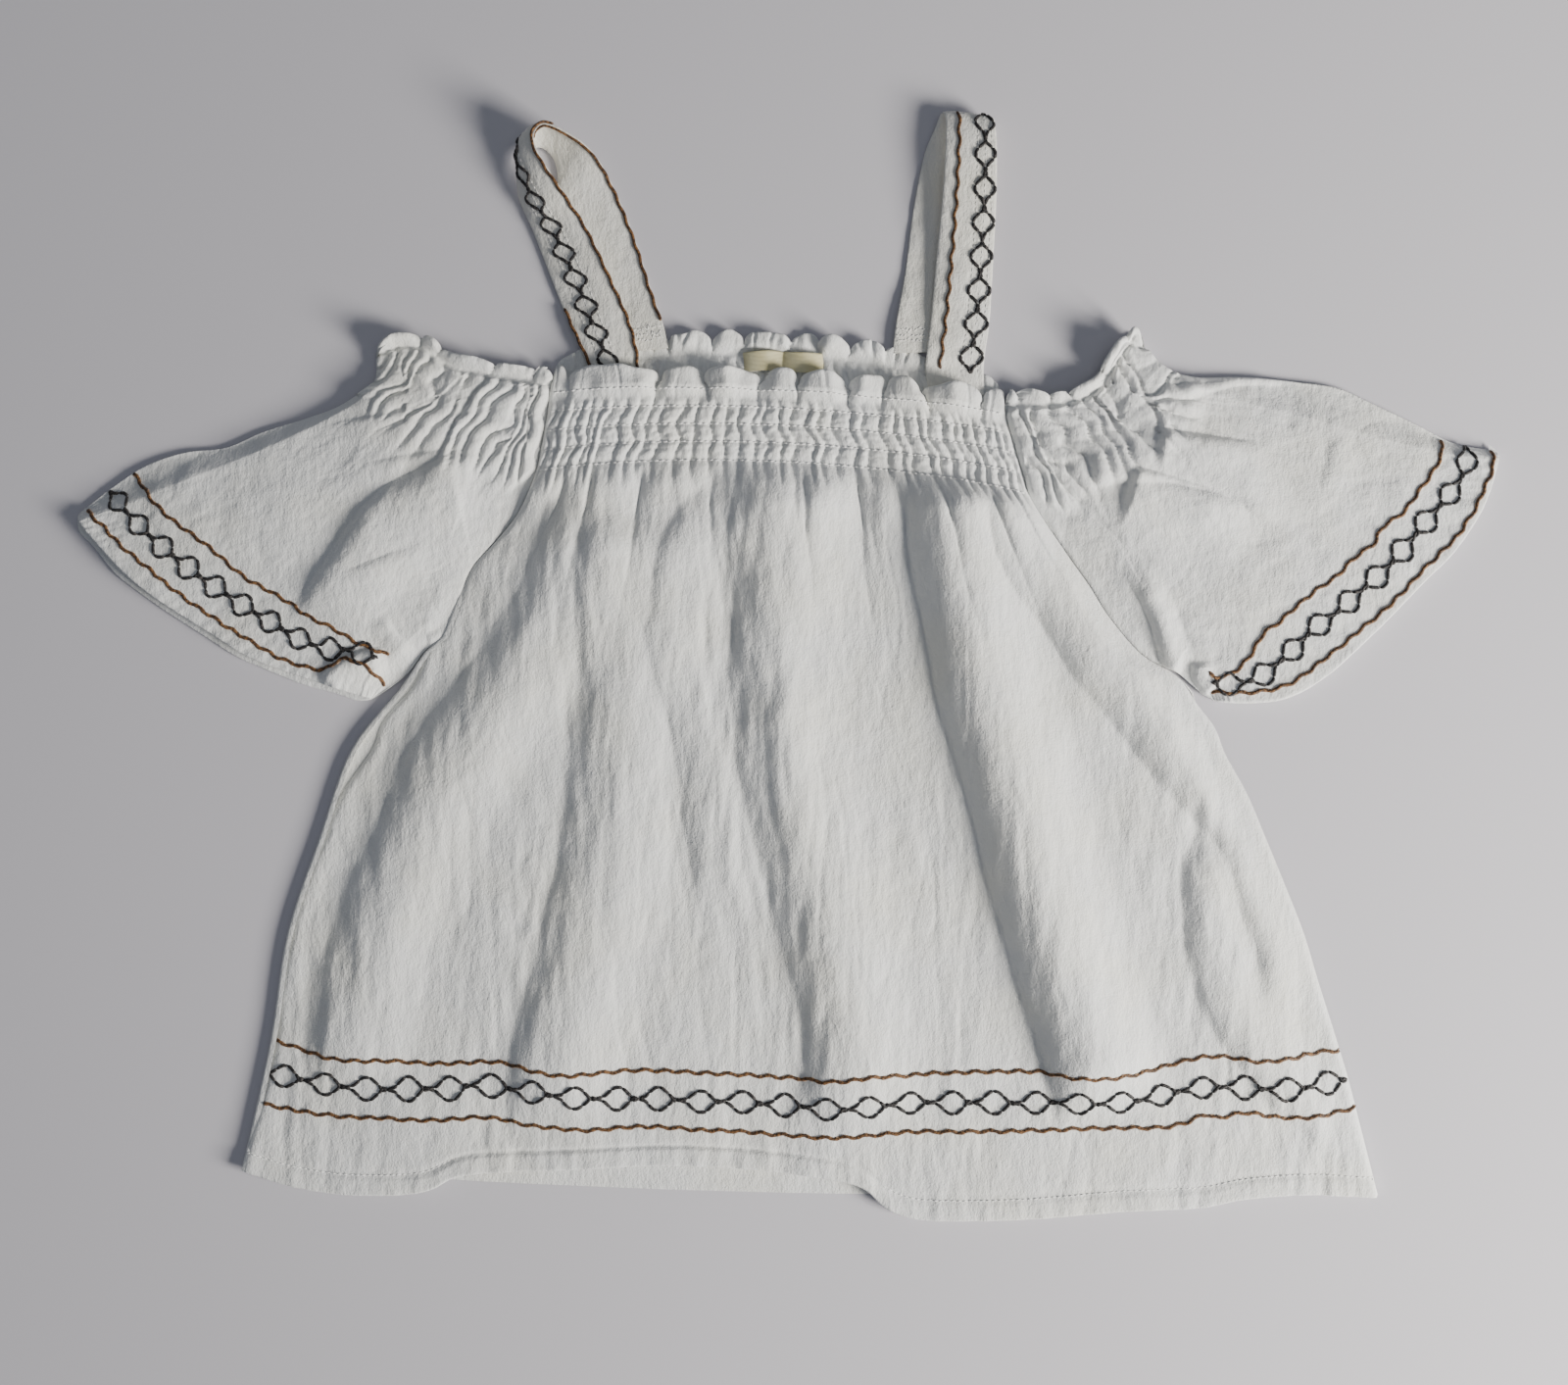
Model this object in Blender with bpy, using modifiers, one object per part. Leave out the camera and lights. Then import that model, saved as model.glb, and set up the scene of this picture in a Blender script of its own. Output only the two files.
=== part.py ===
# Peasant blouse laid flat, face up: cloth solids in millimetres, written out in metres.
# +X is the wearer's left, +Y runs to the neck, +Z is up, and the back panel lies on z = 0.
import math

import bpy
import bmesh

# driving dimensions, mm
CLOTH_WALL = 1.2          # wall of every panel and strap
LABEL_WALL = 1.0
SEAM_GAP = 0.3            # room left where two pieces are sewn together
SEAM_SIDE = 0.24          # a slanting seam: each piece keeps this far to its own side
BACK_MID = CLOTH_WALL / 2                             # middle of the wall that lies on the ground
ON_BACK = CLOTH_WALL + SEAM_GAP + CLOTH_WALL / 2      # middle of a wall lying on the back panel
ON_STRAP = ON_BACK + CLOTH_WALL + 2 * SEAM_GAP        # middle of a wall lying on a strap's end
RAGLAN_MID = 2.7          # middle of the front wall along the raglan seams
HEM_TURN = 8.0            # cloth turned under along the front hem
HEM_TUCK = 17.0           # depth of the stretch that has folded under
HEM_RADIUS = 0.95         # radius of the turned edge, at the middle of the wall
HEADER_LIFT = 2.2         # height of the header's lobes
HEADER_PITCH = 17.0       # from lobe to lobe
BAND_LIFT = 0.5           # gathers in the elastic band
BAND_PITCH = 10.5
PANEL_LIFT = 2.5          # how far the front stands off the back between its seams

# seams shared by front, back and sleeves, a row per level from the neck down:
# seam at the right sleeve x y, seam at the left sleeve x y, dip of the front's middle, dip of the back's
SEAM_ROWS = [
    ("header top", -96.0, 118.4, 86.8, 108.8, -3.8, -19.5),
    ("header middle", -96.6, 114.6, 87.4, 105.4, -4.2, -18.5),
    ("first elastic", -97.2, 110.8, 88.0, 102.0, -5.0, -17.5),
    ("second elastic", -98.4, 103.0, 90.4, 94.0, -6.0, -16.0),
    ("third elastic", -99.8, 95.0, 92.8, 86.0, -7.0, -14.5),
    ("fourth elastic", -101.4, 87.0, 95.2, 77.8, -8.0, -13.0),
    ("band foot", -103.2, 78.8, 98.0, 69.2, -8.8, -11.0),
    ("yoke high", -109.2, 63.6, 106.0, 56.0, -7.0, -7.0),
    ("yoke middle", -118.0, 52.0, 114.0, 44.0, -6.0, -6.0),
    ("yoke low", -128.4, 40.4, 122.0, 32.8, -5.0, -5.0),
    ("armhole high", -134.4, 26.0, 130.2, 20.0, -4.0, -4.0),
    ("armhole low", -140.0, 12.0, 143.4, 4.8, -3.0, -3.0),
    ("underarm", -146.8, 6.0, 157.8, -4.0, -1.0, -1.0),
]
# front panel below the arms, a row per level: edge x y, edge x y, how far the middle dips
FRONT_ROWS = [
    ("below arm", -152.0, -7.0, 166.0, -15.0, 1.0),
    ("side high", -165.0, -22.0, 173.6, -25.0, 0.0),
    ("side step", -170.0, -34.0, 178.0, -36.0, 0.0),
    ("ribs", -182.0, -52.0, 186.8, -52.0, 0.0),
    ("waist high", -189.0, -70.0, 194.4, -70.0, 0.0),
    ("waist", -197.0, -90.0, 202.6, -90.0, 0.0),
    ("hip high", -202.0, -109.0, 210.0, -109.0, 0.0),
    ("hip", -206.0, -129.0, 216.0, -129.0, 1.0),
    ("upper line", -208.4, -150.0, 222.6, -150.0, 4.0),
    ("chain line", -211.8, -169.0, 228.0, -168.0, 7.0),
    ("lower line", -217.2, -188.0, 233.4, -189.0, 5.0),
]
# the front's lower edge from left to right, x y: the turned hem, and between
# the marks the fold of the stretch that is tucked under
FRONT_HEM = [
    (-222.0, -204.0), (-204.0, -209.5), (-184.0, -213.0), (-160.0, -213.5), (-146.0, -211.5),
    (-136.0, -206.5), (-124.0, -204.6), (-98.0, -203.6), (-66.0, -202.0), (-42.0, -201.6),
    (-18.0, -203.0), (6.0, -205.5), (24.0, -208.6), (32.0, -212.0), (38.0, -218.0),
    (48.0, -222.6), (62.0, -224.0), (98.0, -223.2), (138.0, -220.0), (166.0, -218.8),
    (182.0, -215.6), (198.0, -214.0), (214.0, -213.6), (240.0, -215.0),
]
TUCK_FROM, TUCK_TO = -138.0, 32.0
SIDE_SLOPES = 0.3, -0.25       # the side seams' slant at the hem, x for y
FLARE_BLEND = 0.22             # share of the width over which columns turn to follow the seams

# large folds of the front, a row per fold: foot x y at the top, middle and hem, steep side, gentle side, height
FRONT_FOLDS = [
    ("side right", -100.0, 74.0, -130.0, 0.0, -196.0, -160.0, 9.0, 20.0, 4.0),
    ("princess right", -84.0, 70.0, -86.0, -20.0, -116.0, -190.0, 9.0, 26.0, 5.0),
    ("breast right", -36.0, 76.0, -56.0, 16.0, -38.0, -110.0, 9.0, 30.0, 3.5),
    ("centre", -22.0, 80.0, -22.0, -30.0, 2.0, -192.0, 9.0, 26.0, 5.0),
    ("princess left", 48.0, 70.0, 64.0, -30.0, 108.0, -192.0, 11.0, 32.0, 7.5),
    ("armhole left", 80.0, 62.0, 122.0, -20.0, 194.0, -150.0, 12.0, 28.0, 5.5),
    ("side left", 158.0, -60.0, 160.0, -120.0, 222.0, -205.0, 9.0, 20.0, 4.5),
]

# back panel below the arms, as above
BACK_ROWS = [
    ("below arm", -157.0, -9.0, 168.0, -15.0, 1.0),
    ("side step", -177.0, -34.0, 180.0, -36.0, 0.0),
    ("waist high", -190.0, -70.0, 196.0, -70.0, 0.0),
    ("hip high", -203.0, -109.0, 211.6, -109.0, 0.0),
    ("upper line", -209.4, -150.0, 224.0, -150.0, 3.0),
    ("lower line", -217.6, -188.0, 234.4, -189.0, 4.0),
    ("hem", -221.0, -202.0, 239.0, -211.0, 7.0),
]

# sleeves seen from above, each edge from its first point to its last
RIGHT_NECK = [
    (-102.0, 120.0), (-112.0, 120.5), (-124.0, 123.0), (-136.0, 125.0),
    (-146.0, 131.5), (-158.0, 132.5), (-168.0, 128.0),
]
RIGHT_UNDERARM = [(-148.2, 6.8), (-155.4, -3.0), (-163.6, -9.4), (-169.0, -12.8)]
RIGHT_TOP_FOLD = [
    (-168.0, 128.0), (-171.0, 118.0), (-169.0, 108.0), (-183.0, 106.0), (-196.0, 101.0),
    (-215.0, 95.0), (-226.0, 89.6), (-243.0, 87.6), (-256.0, 84.0), (-267.0, 79.0),
    (-277.0, 71.5), (-289.0, 62.0),
]
RIGHT_CUFF = [
    (-169.0, -12.8), (-178.0, -10.0), (-190.0, -6.0), (-202.0, -2.0), (-218.0, 4.0), (-234.0, 14.0),
    (-250.0, 24.0), (-266.0, 36.0), (-282.0, 52.8), (-289.0, 62.0),
]
LEFT_NECK = [
    (94.0, 111.0), (104.0, 109.6), (114.0, 110.6), (124.0, 116.0),
    (131.0, 127.0), (139.0, 135.0), (144.0, 131.0),
]
LEFT_UNDERARM = [(159.2, -3.2), (163.4, -7.0), (168.0, -11.0), (172.6, -13.6)]
LEFT_TOP_FOLD = [
    (144.0, 131.0), (150.0, 122.0), (158.0, 114.6), (168.0, 117.4), (192.0, 117.4),
    (214.0, 114.4), (230.0, 111.6), (242.0, 104.4), (256.0, 98.0), (265.0, 92.0),
    (276.0, 90.0), (288.0, 87.6),
]
LEFT_CUFF = [
    (172.6, -13.6), (186.0, -14.0), (200.0, -12.6), (214.0, -6.0), (226.0, 4.0), (241.0, 18.0),
    (254.0, 32.0), (268.0, 46.0), (281.0, 66.0), (288.0, 87.6),
]
# ridges and troughs of a sleeve, a row each: from x y, to x y, half width, height
RIGHT_SLEEVE_FOLDS = [
    ("trough", -138.0, 84.0, -190.0, 30.0, 13.0, -2.2),
    ("crown ridge", -160.0, 100.0, -225.0, 72.0, 14.0, 2.2),
    ("seam ridge", -120.0, 78.0, -165.0, 20.0, 14.0, 1.6),
]
LEFT_SLEEVE_FOLDS = [
    ("trough", 122.0, 72.0, 196.0, 60.0, 13.0, -2.2),
    ("crown ridge", 148.0, 96.0, 222.0, 86.0, 14.0, 2.2),
    ("cuff ridge", 142.0, 30.0, 158.0, 6.0, 10.0, 1.8),
]
SLEEVE_PUFF = 2.8         # how far a sleeve's top stands off its underside
RELAX_STEPS = 150
CUFF_STEP = 2.2           # the underside shows this far past the top at the cuff

# straps, a row per section from the front band to the back band: outer edge x y z, middle x y z, inner edge x y z
RIGHT_STRAP = [
    ("front end", -77.0, 110.4, 2.1, -67.0, 110.5, 2.1, -56.8, 110.8, 2.1),
    ("front band", -80.8, 120.0, 2.1, -70.6, 120.0, 2.1, -60.4, 120.0, 2.1),
    ("front low", -84.0, 127.4, 2.6, -72.8, 127.4, 3.8, -61.0, 127.4, 3.8),
    ("front rise", -89.2, 138.6, 2.0, -77.4, 138.6, 3.7, -63.6, 138.6, 4.0),
    ("front middle", -94.8, 152.0, 1.1, -82.4, 152.4, 3.4, -69.2, 151.6, 4.6),
    ("front high", -104.0, 176.0, 1.0, -93.0, 176.0, 4.4, -80.8, 176.0, 6.4),
    ("turn low", -110.4, 192.0, 1.0, -101.4, 189.0, 7.4, -90.0, 190.0, 9.6),
    ("turn", -110.0, 206.0, 1.0, -108.6, 204.0, 7.6, -98.6, 203.0, 13.0),
    ("apex low", -104.0, 211.0, 1.0, -108.6, 212.0, 7.4, -101.6, 211.0, 14.2),
    ("apex", -99.0, 210.0, 1.0, -102.0, 217.0, 7.0, -97.6, 216.0, 14.2),
    ("apex high", -95.0, 204.0, 1.0, -92.0, 212.6, 6.0, -88.0, 212.8, 12.0),
    ("back turn", -94.0, 193.0, 0.8, -86.0, 203.0, 4.2, -78.4, 206.4, 8.0),
    ("back high", -92.0, 182.0, 0.6, -82.0, 188.0, 1.2, -70.6, 194.0, 2.6),
    ("back middle", -85.0, 164.0, 0.6, -74.0, 169.0, 0.6, -62.4, 174.0, 0.6),
    ("back low", -79.0, 146.0, 0.9, -68.0, 150.0, 0.9, -56.0, 154.0, 0.9),
    ("back band", -74.0, 134.0, 2.1, -62.6, 136.4, 2.1, -50.8, 138.8, 2.1),
    ("back end", -72.4, 127.0, 2.1, -60.8, 128.2, 2.1, -48.8, 129.4, 2.1),
]
LEFT_STRAP = [
    ("front end", 56.8, 110.6, 2.1, 68.0, 110.4, 2.1, 79.6, 110.2, 2.1),
    ("front band", 55.2, 120.0, 2.1, 67.4, 120.0, 2.1, 79.4, 120.0, 2.1),
    ("front low", 55.6, 127.4, 3.8, 67.8, 127.4, 3.8, 80.0, 127.4, 2.8),
    ("front rise", 57.2, 141.0, 3.9, 69.6, 141.0, 4.2, 81.8, 141.0, 3.0),
    ("front middle", 59.4, 164.0, 4.4, 71.6, 164.0, 5.2, 83.0, 164.0, 4.2),
    ("front high", 61.6, 188.0, 6.4, 73.0, 188.0, 7.0, 84.0, 188.0, 6.4),
    ("top low", 62.8, 208.0, 7.6, 73.6, 208.0, 8.2, 84.0, 208.0, 8.0),
    ("top", 63.0, 220.0, 7.0, 73.6, 219.4, 7.4, 83.4, 218.0, 7.2),
    ("fold", 61.6, 224.2, 4.4, 73.0, 223.6, 4.4, 83.2, 221.6, 4.4),
    ("under top", 58.6, 217.6, 1.3, 71.0, 219.2, 1.4, 82.0, 217.6, 1.4),
    ("back high", 54.8, 208.0, 0.6, 67.4, 209.4, 0.6, 80.0, 209.0, 0.6),
    ("back middle", 50.4, 186.0, 0.6, 63.0, 187.6, 0.6, 75.6, 188.0, 0.6),
    ("back low", 47.0, 160.0, 0.8, 59.4, 161.6, 0.8, 71.8, 162.0, 0.8),
    ("back band", 43.0, 138.0, 2.1, 55.2, 138.6, 2.1, 67.4, 139.0, 2.1),
    ("back end", 42.0, 127.2, 2.1, 54.0, 127.6, 2.1, 65.8, 128.0, 2.1),
]
LABEL_LEFT, LABEL_RIGHT, LABEL_LOW, LABEL_HIGH, LABEL_HUMP = -18.4, 13.6, 119.4, 127.4, 2.6

# triangles: columns and rows of each grid
FRONT_COLUMNS, FRONT_TURN_ROWS = 40, 4
BACK_COLUMNS = 20
SLEEVE_ALONG = 9
STRAP_ACROSS, STRAP_ALONG = 4, 26
LABEL_GRID = (12, 2)


def ease(t):
    t = min(1.0, max(0.0, t))
    return t * t * (3 - 2 * t)


def curve(points, t):
    """A smooth run through evenly numbered points, t from 0 to 1."""
    at = t * (len(points) - 1)
    i = min(int(at), len(points) - 2)
    f = at - i
    before, a, b, after = (points[min(max(k, 0), len(points) - 1)] for k in (i - 1, i, i + 1, i + 2))
    return tuple(
        b0 + 0.5 * f * (b1 - b_ + f * (2 * b_ - 5 * b0 + 4 * b1 - b2 + f * (3 * (b0 - b1) + b2 - b_)))
        for b_, b0, b1, b2 in zip(before, a, b, after)
    )


def by_length(points, count):
    """The same run at count + 1 points an even distance apart."""
    fine = [curve(points, k / 400) for k in range(401)]
    run = [0.0]
    for p, q in zip(fine, fine[1:]):
        run.append(run[-1] + math.dist(p, q))
    out, k = [], 0
    for n in range(count + 1):
        want = run[-1] * n / count
        while k < 399 and run[k + 1] < want:
            k += 1
        f = (want - run[k]) / max(run[k + 1] - run[k], 1e-9)
        out.append(tuple(p + (q - p) * min(1.0, f) for p, q in zip(fine[k], fine[k + 1])))
    return out


def read_across(points, x):
    """y of an edge given from left to right."""
    for (x0, y0), (x1, y1) in zip(points, points[1:]):
        if x <= x1 or (x1, y1) == points[-1]:
            return y0 + (y1 - y0) * min(1.0, max(0.0, (x - x0) / (x1 - x0)))


def row_point(row, u, dip, round_off):
    """A place across a panel. Inner columns follow an even flare, and only the outer ones follow the seams."""
    left_x, left_y, right_x, right_y = row[1:5]
    down = (118.0 - (left_y + right_y) / 2) / 322.0
    flare_left, flare_right = -97.0 - 124.0 * down, 88.0 + 150.0 * down
    x = flare_left + (flare_right - flare_left) * u
    x += (left_x + SEAM_SIDE - flare_left) * max(0.0, 1 - u / FLARE_BLEND) ** 1.5
    x += (right_x - SEAM_SIDE - flare_right) * max(0.0, 1 - (1 - u) / FLARE_BLEND) ** 1.5
    return x, left_y + (right_y - left_y) * u - dip * max(0.0, math.sin(math.pi * u)) ** round_off


def fold_height(x, y):
    """Height the large folds add to the front at a place."""
    total = 0.0
    for name, x0, y0, x1, y1, x2, y2, steep, gentle, height in FRONT_FOLDS:
        if y > y0 + 6 or y < y2 - 6:
            continue
        foot = curve([(x0,), (x1,), (x2,)], min(1.0, max(0.0, (y0 - y) / (y0 - y1) / 2 if y > y1 else
                                                         0.5 + (y1 - y) / (y1 - y2) / 2)))[0]
        ends = ease((y0 + 6 - y) / 26) * (0.35 + 0.65 * ease((y - y2 + 6) / 40))
        across = x - foot
        shape = ease((across + steep / 2) / steep) if across < steep / 2 else 1 - ease((across - steep / 2) / gentle)
        total += height * ends * shape
    return total


def front_height(x, y, u, level):
    """Middle of the front wall: low at its seams, lifted between them, waved in band and header."""
    edge = min(u, 1 - u)
    at_seam = RAGLAN_MID if level <= 12 else ON_BACK + (RAGLAN_MID - ON_BACK) * (1 - ease((level - 12) / 2))
    open_part = ease(edge / 0.12)
    if level <= 6:
        base = ON_STRAP + (RAGLAN_MID - ON_STRAP) * (1 - ease(edge / 0.04))
        lobes = HEADER_LIFT * (0.5 - 0.5 * math.cos(2 * math.pi * (x + 4) / HEADER_PITCH)) * (1 - ease(level / 2))
        gathers = BAND_LIFT * (0.5 - 0.5 * math.cos(2 * math.pi * x / BAND_PITCH)) * ease(level / 2)
        return base + (lobes + gathers) * ease(edge / 0.03)
    top = ON_STRAP * (1 - ease((level - 6) / 2)) + at_seam * ease((level - 6) / 2)
    low = top * (1 - open_part) + open_part * (ON_BACK + PANEL_LIFT)
    low = at_seam + (low - at_seam) * ease(edge / 0.05)
    hem = ease((level - 21) / 3)
    low = low * (1 - hem) + hem * (ON_BACK + 2 * HEM_RADIUS + 0.8 * open_part)
    return low + fold_height(x, y) * ease(edge / 0.06)


def front_point(u, row):
    """row runs over the levels, then round the turned hem and back under it."""
    levels = len(SEAM_ROWS) + len(FRONT_ROWS)
    if row < levels:
        level = (SEAM_ROWS + FRONT_ROWS)[row]
        x, y = row_point(level, u, level[5], 0.8)
        if row == 0:
            y += 1.2 * math.sin(2 * math.pi * (x + 4) / HEADER_PITCH) * ease(min(u, 1 - u) / 0.05)
        return x, y, front_height(x, y, u, row)
    x = FRONT_HEM[0][0] + (FRONT_HEM[-1][0] - FRONT_HEM[0][0]) * u
    tuck = ease((x - TUCK_FROM + 8) / 12) * ease((TUCK_TO + 4 - x) / 12)
    y = read_across(FRONT_HEM, x)
    top = front_height(x, y, u, levels)
    turn = row - levels
    if turn <= FRONT_TURN_ROWS - 1:
        angle = math.pi * turn / (FRONT_TURN_ROWS - 1)
        return x, y + HEM_RADIUS - HEM_RADIUS * math.sin(angle), top - HEM_RADIUS * (1 - math.cos(angle))
    depth = HEM_TURN + (HEM_TUCK - HEM_TURN) * tuck
    slant = SIDE_SLOPES[0] + (SIDE_SLOPES[1] - SIDE_SLOPES[0]) * u
    return x + slant * depth, y + HEM_RADIUS + depth, top - 2 * HEM_RADIUS


def back_point(u, row):
    level = (SEAM_ROWS + BACK_ROWS)[row]
    x, y = row_point(level, u, level[6] if row < len(SEAM_ROWS) else level[5], 0.5 if row < 6 else 0.8)
    if row == 0:
        y += 1.2 * math.sin(2 * math.pi * x / HEADER_PITCH) * ease(min(u, 1 - u) / 0.08)
    return x, y, BACK_MID


def line_height(x, y, folds):
    total = 0.0
    for name, x0, y0, x1, y1, half, height in folds:
        run = math.hypot(x1 - x0, y1 - y0)
        along = ((x - x0) * (x1 - x0) + (y - y0) * (y1 - y0)) / run ** 2
        away = abs((x - x0) * (y1 - y0) - (y - y0) * (x1 - x0)) / run
        if -0.25 < along < 1.25 and away < half:
            ends = ease((along + 0.25) / 0.4) * ease((1.25 - along) / 0.4)
            total += height * ends * (0.5 + 0.5 * math.cos(math.pi * away / half))
    return total


def sleeve_points(side, neck, underarm, top_fold, cuff, folds):
    """Rings of the flattened tube: up over the top layer and back along the flat underside.
    side is -1 for the right sleeve and 1 for the left."""
    at = 1 if side < 0 else 3
    seam = [(row[at] + side * SEAM_SIDE, row[at + 1]) for row in reversed(SEAM_ROWS)]
    seam[1] = (seam[1][0] + side * 0.5, seam[1][1] + 0.3)
    start = [underarm[0]] + seam[1:] + neck
    half = len(start) - 1
    spread = [0.5 - 0.5 * math.cos(math.pi * k / half) for k in range(half + 1)]
    even_cuff = by_length(cuff, 100)
    end = [curve(even_cuff, s) for s in spread]
    sides = [by_length(edge, SLEEVE_ALONG) for edge in (underarm, top_fold)]
    middle = (BACK_MID + RAGLAN_MID) / 2
    plans = [[[(1 - j / SLEEVE_ALONG) * p[n] + j / SLEEVE_ALONG * q[n] for n in (0, 1)] for p, q in zip(start, end)]
             for j in range(SLEEVE_ALONG + 1)]
    for j, plan in enumerate(plans):
        plan[0], plan[-1] = sides[0][j], sides[1][j]
    for step in range(RELAX_STEPS):          # spread the inner places evenly between the four edges
        for j in range(1, SLEEVE_ALONG):
            for k in range(1, half):
                around = plans[j - 1][k], plans[j + 1][k], plans[j][k - 1], plans[j][k + 1]
                plans[j][k] = [sum(p[n] for p in around) / 4 for n in (0, 1)]
    rings = []
    for j, plan in enumerate(plans):
        v = j / SLEEVE_ALONG
        ring = []
        for k in range(2 * half):
            angle = math.pi * k / half
            x, y = plan[k if k <= half else 2 * half - k]
            rise = ease(abs(math.sin(angle)) / 0.42)
            if k <= half:
                neck_part = ease((k / half - 0.5) / 0.2)
                seam_mid = RAGLAN_MID + (ON_STRAP - RAGLAN_MID) * neck_part
                puff = (SLEEVE_PUFF * math.sin(angle) ** 0.6 + line_height(x, y, folds)) * ease(v / 0.3)
                ring.append((x, y, middle + (seam_mid + max(0.0, puff) - middle) * rise))
            else:
                step = CUFF_STEP * ease((v - 0.6) / 0.4) * rise
                ring.append((x + side * 0.7 * step, y - 0.7 * step, middle + (BACK_MID - middle) * rise))
        rings.append(ring)
    return rings


def strap_point(rows, across, along):
    section = curve([row[1:] for row in rows], along)
    outer, middle, inner = section[0:3], section[3:6], section[6:9]
    t = across
    x, y, z = (
        o * (1 - t) * (1 - 2 * t) + m * 4 * t * (1 - t) + i * t * (2 * t - 1)
        for o, m, i in zip(outer, middle, inner)
    )
    on_back = y < 137 or along < 0.2
    return x, y, max(z, ON_BACK if on_back else BACK_MID + 0.05)


def label_point(u, v):
    x = LABEL_LEFT + (LABEL_RIGHT - LABEL_LEFT) * u
    hump = LABEL_HUMP * abs(math.sin(2 * math.pi * u)) ** 1.3
    return x, LABEL_LOW + (LABEL_HIGH - LABEL_LOW) * v, CLOTH_WALL + SEAM_GAP + LABEL_WALL / 2 + hump


def finish(name, slot, colour, roughness):
    material = bpy.data.materials.get(slot) or bpy.data.materials.new(slot)
    material.use_nodes = True
    shader = material.node_tree.nodes["Principled BSDF"]
    shader.inputs["Base Color"].default_value = (*colour, 1)
    shader.inputs["Roughness"].default_value = roughness
    return material


def cloth(name, grid, wall, slot, colour, closed=False):
    """A shell: the grid of points is the middle of the wall, mm."""
    form = bmesh.new()
    rows = [[form.verts.new([c / 1000 for c in p]) for p in row] for row in grid]
    for low, high in zip(rows, rows[1:]):
        pairs = list(zip(range(len(low)), range(1, len(low)))) + ([(len(low) - 1, 0)] if closed else [])
        for a, b in pairs:
            form.faces.new((low[a], low[b], high[b], high[a])).smooth = True
    form.normal_update()
    mesh = bpy.data.meshes.new(name)
    form.to_mesh(mesh)
    form.free()
    piece = bpy.data.objects.new(name, mesh)
    blouse.objects.link(piece)
    mesh.materials.append(finish(name, slot, colour, 0.9))
    shell = piece.modifiers.new("wall", "SOLIDIFY")
    shell.thickness = wall / 1000
    shell.offset = 0
    return piece


for old in list(bpy.data.objects):
    bpy.data.objects.remove(old)
blouse = bpy.data.collections.new("peasant_blouse")
bpy.context.scene.collection.children.link(blouse)
COTTON, TAPE = (0.80, 0.79, 0.76), (0.82, 0.78, 0.58)

cloth("back_panel", [[back_point(i / BACK_COLUMNS, row) for i in range(BACK_COLUMNS + 1)]
                     for row in range(len(SEAM_ROWS + BACK_ROWS))], CLOTH_WALL, "cotton", COTTON)
cloth("front_panel", [[front_point(i / FRONT_COLUMNS, row) for i in range(FRONT_COLUMNS + 1)]
                      for row in range(len(SEAM_ROWS + FRONT_ROWS) + FRONT_TURN_ROWS + 1)],
      CLOTH_WALL, "cotton", COTTON)
cloth("sleeve_right", sleeve_points(-1, RIGHT_NECK, RIGHT_UNDERARM, RIGHT_TOP_FOLD, RIGHT_CUFF, RIGHT_SLEEVE_FOLDS),
      CLOTH_WALL, "cotton", COTTON, closed=True)
cloth("sleeve_left", sleeve_points(1, LEFT_NECK, LEFT_UNDERARM, LEFT_TOP_FOLD, LEFT_CUFF, LEFT_SLEEVE_FOLDS),
      CLOTH_WALL, "cotton", COTTON, closed=True)
for name, rows in (("strap_right", RIGHT_STRAP), ("strap_left", LEFT_STRAP)):
    cloth(name, [[strap_point(rows, i / STRAP_ACROSS, j / STRAP_ALONG) for i in range(STRAP_ACROSS + 1)]
                 for j in range(STRAP_ALONG + 1)], CLOTH_WALL, "cotton", COTTON)
cloth("label", [[label_point(i / LABEL_GRID[0], j / LABEL_GRID[1]) for i in range(LABEL_GRID[0] + 1)]
                for j in range(LABEL_GRID[1] + 1)], LABEL_WALL, "tape", TAPE)
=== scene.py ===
import bpy
import numpy as np
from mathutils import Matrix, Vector
from mathutils.bvhtree import BVHTree


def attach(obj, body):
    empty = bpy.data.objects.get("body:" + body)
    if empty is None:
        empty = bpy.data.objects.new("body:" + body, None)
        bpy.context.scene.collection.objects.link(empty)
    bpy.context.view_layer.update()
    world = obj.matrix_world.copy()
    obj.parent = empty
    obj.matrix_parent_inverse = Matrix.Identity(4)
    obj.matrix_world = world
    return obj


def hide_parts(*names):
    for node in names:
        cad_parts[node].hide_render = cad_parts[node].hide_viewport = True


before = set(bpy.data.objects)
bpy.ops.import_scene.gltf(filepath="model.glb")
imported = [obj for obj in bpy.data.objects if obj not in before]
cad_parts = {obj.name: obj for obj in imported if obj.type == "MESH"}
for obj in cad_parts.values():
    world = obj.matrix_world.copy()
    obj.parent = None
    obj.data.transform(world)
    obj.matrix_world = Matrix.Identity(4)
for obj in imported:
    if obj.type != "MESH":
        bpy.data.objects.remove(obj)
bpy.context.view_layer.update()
print("frame loaded:", ", ".join(sorted(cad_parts)))


def ease(t):
    # smooth step from 0 to 1
    t = np.clip(t, 0.0, 1.0)
    return t * t * (3 - 2 * t)


def mix(a, b, t):
    return a + (b - a) * t


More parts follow.
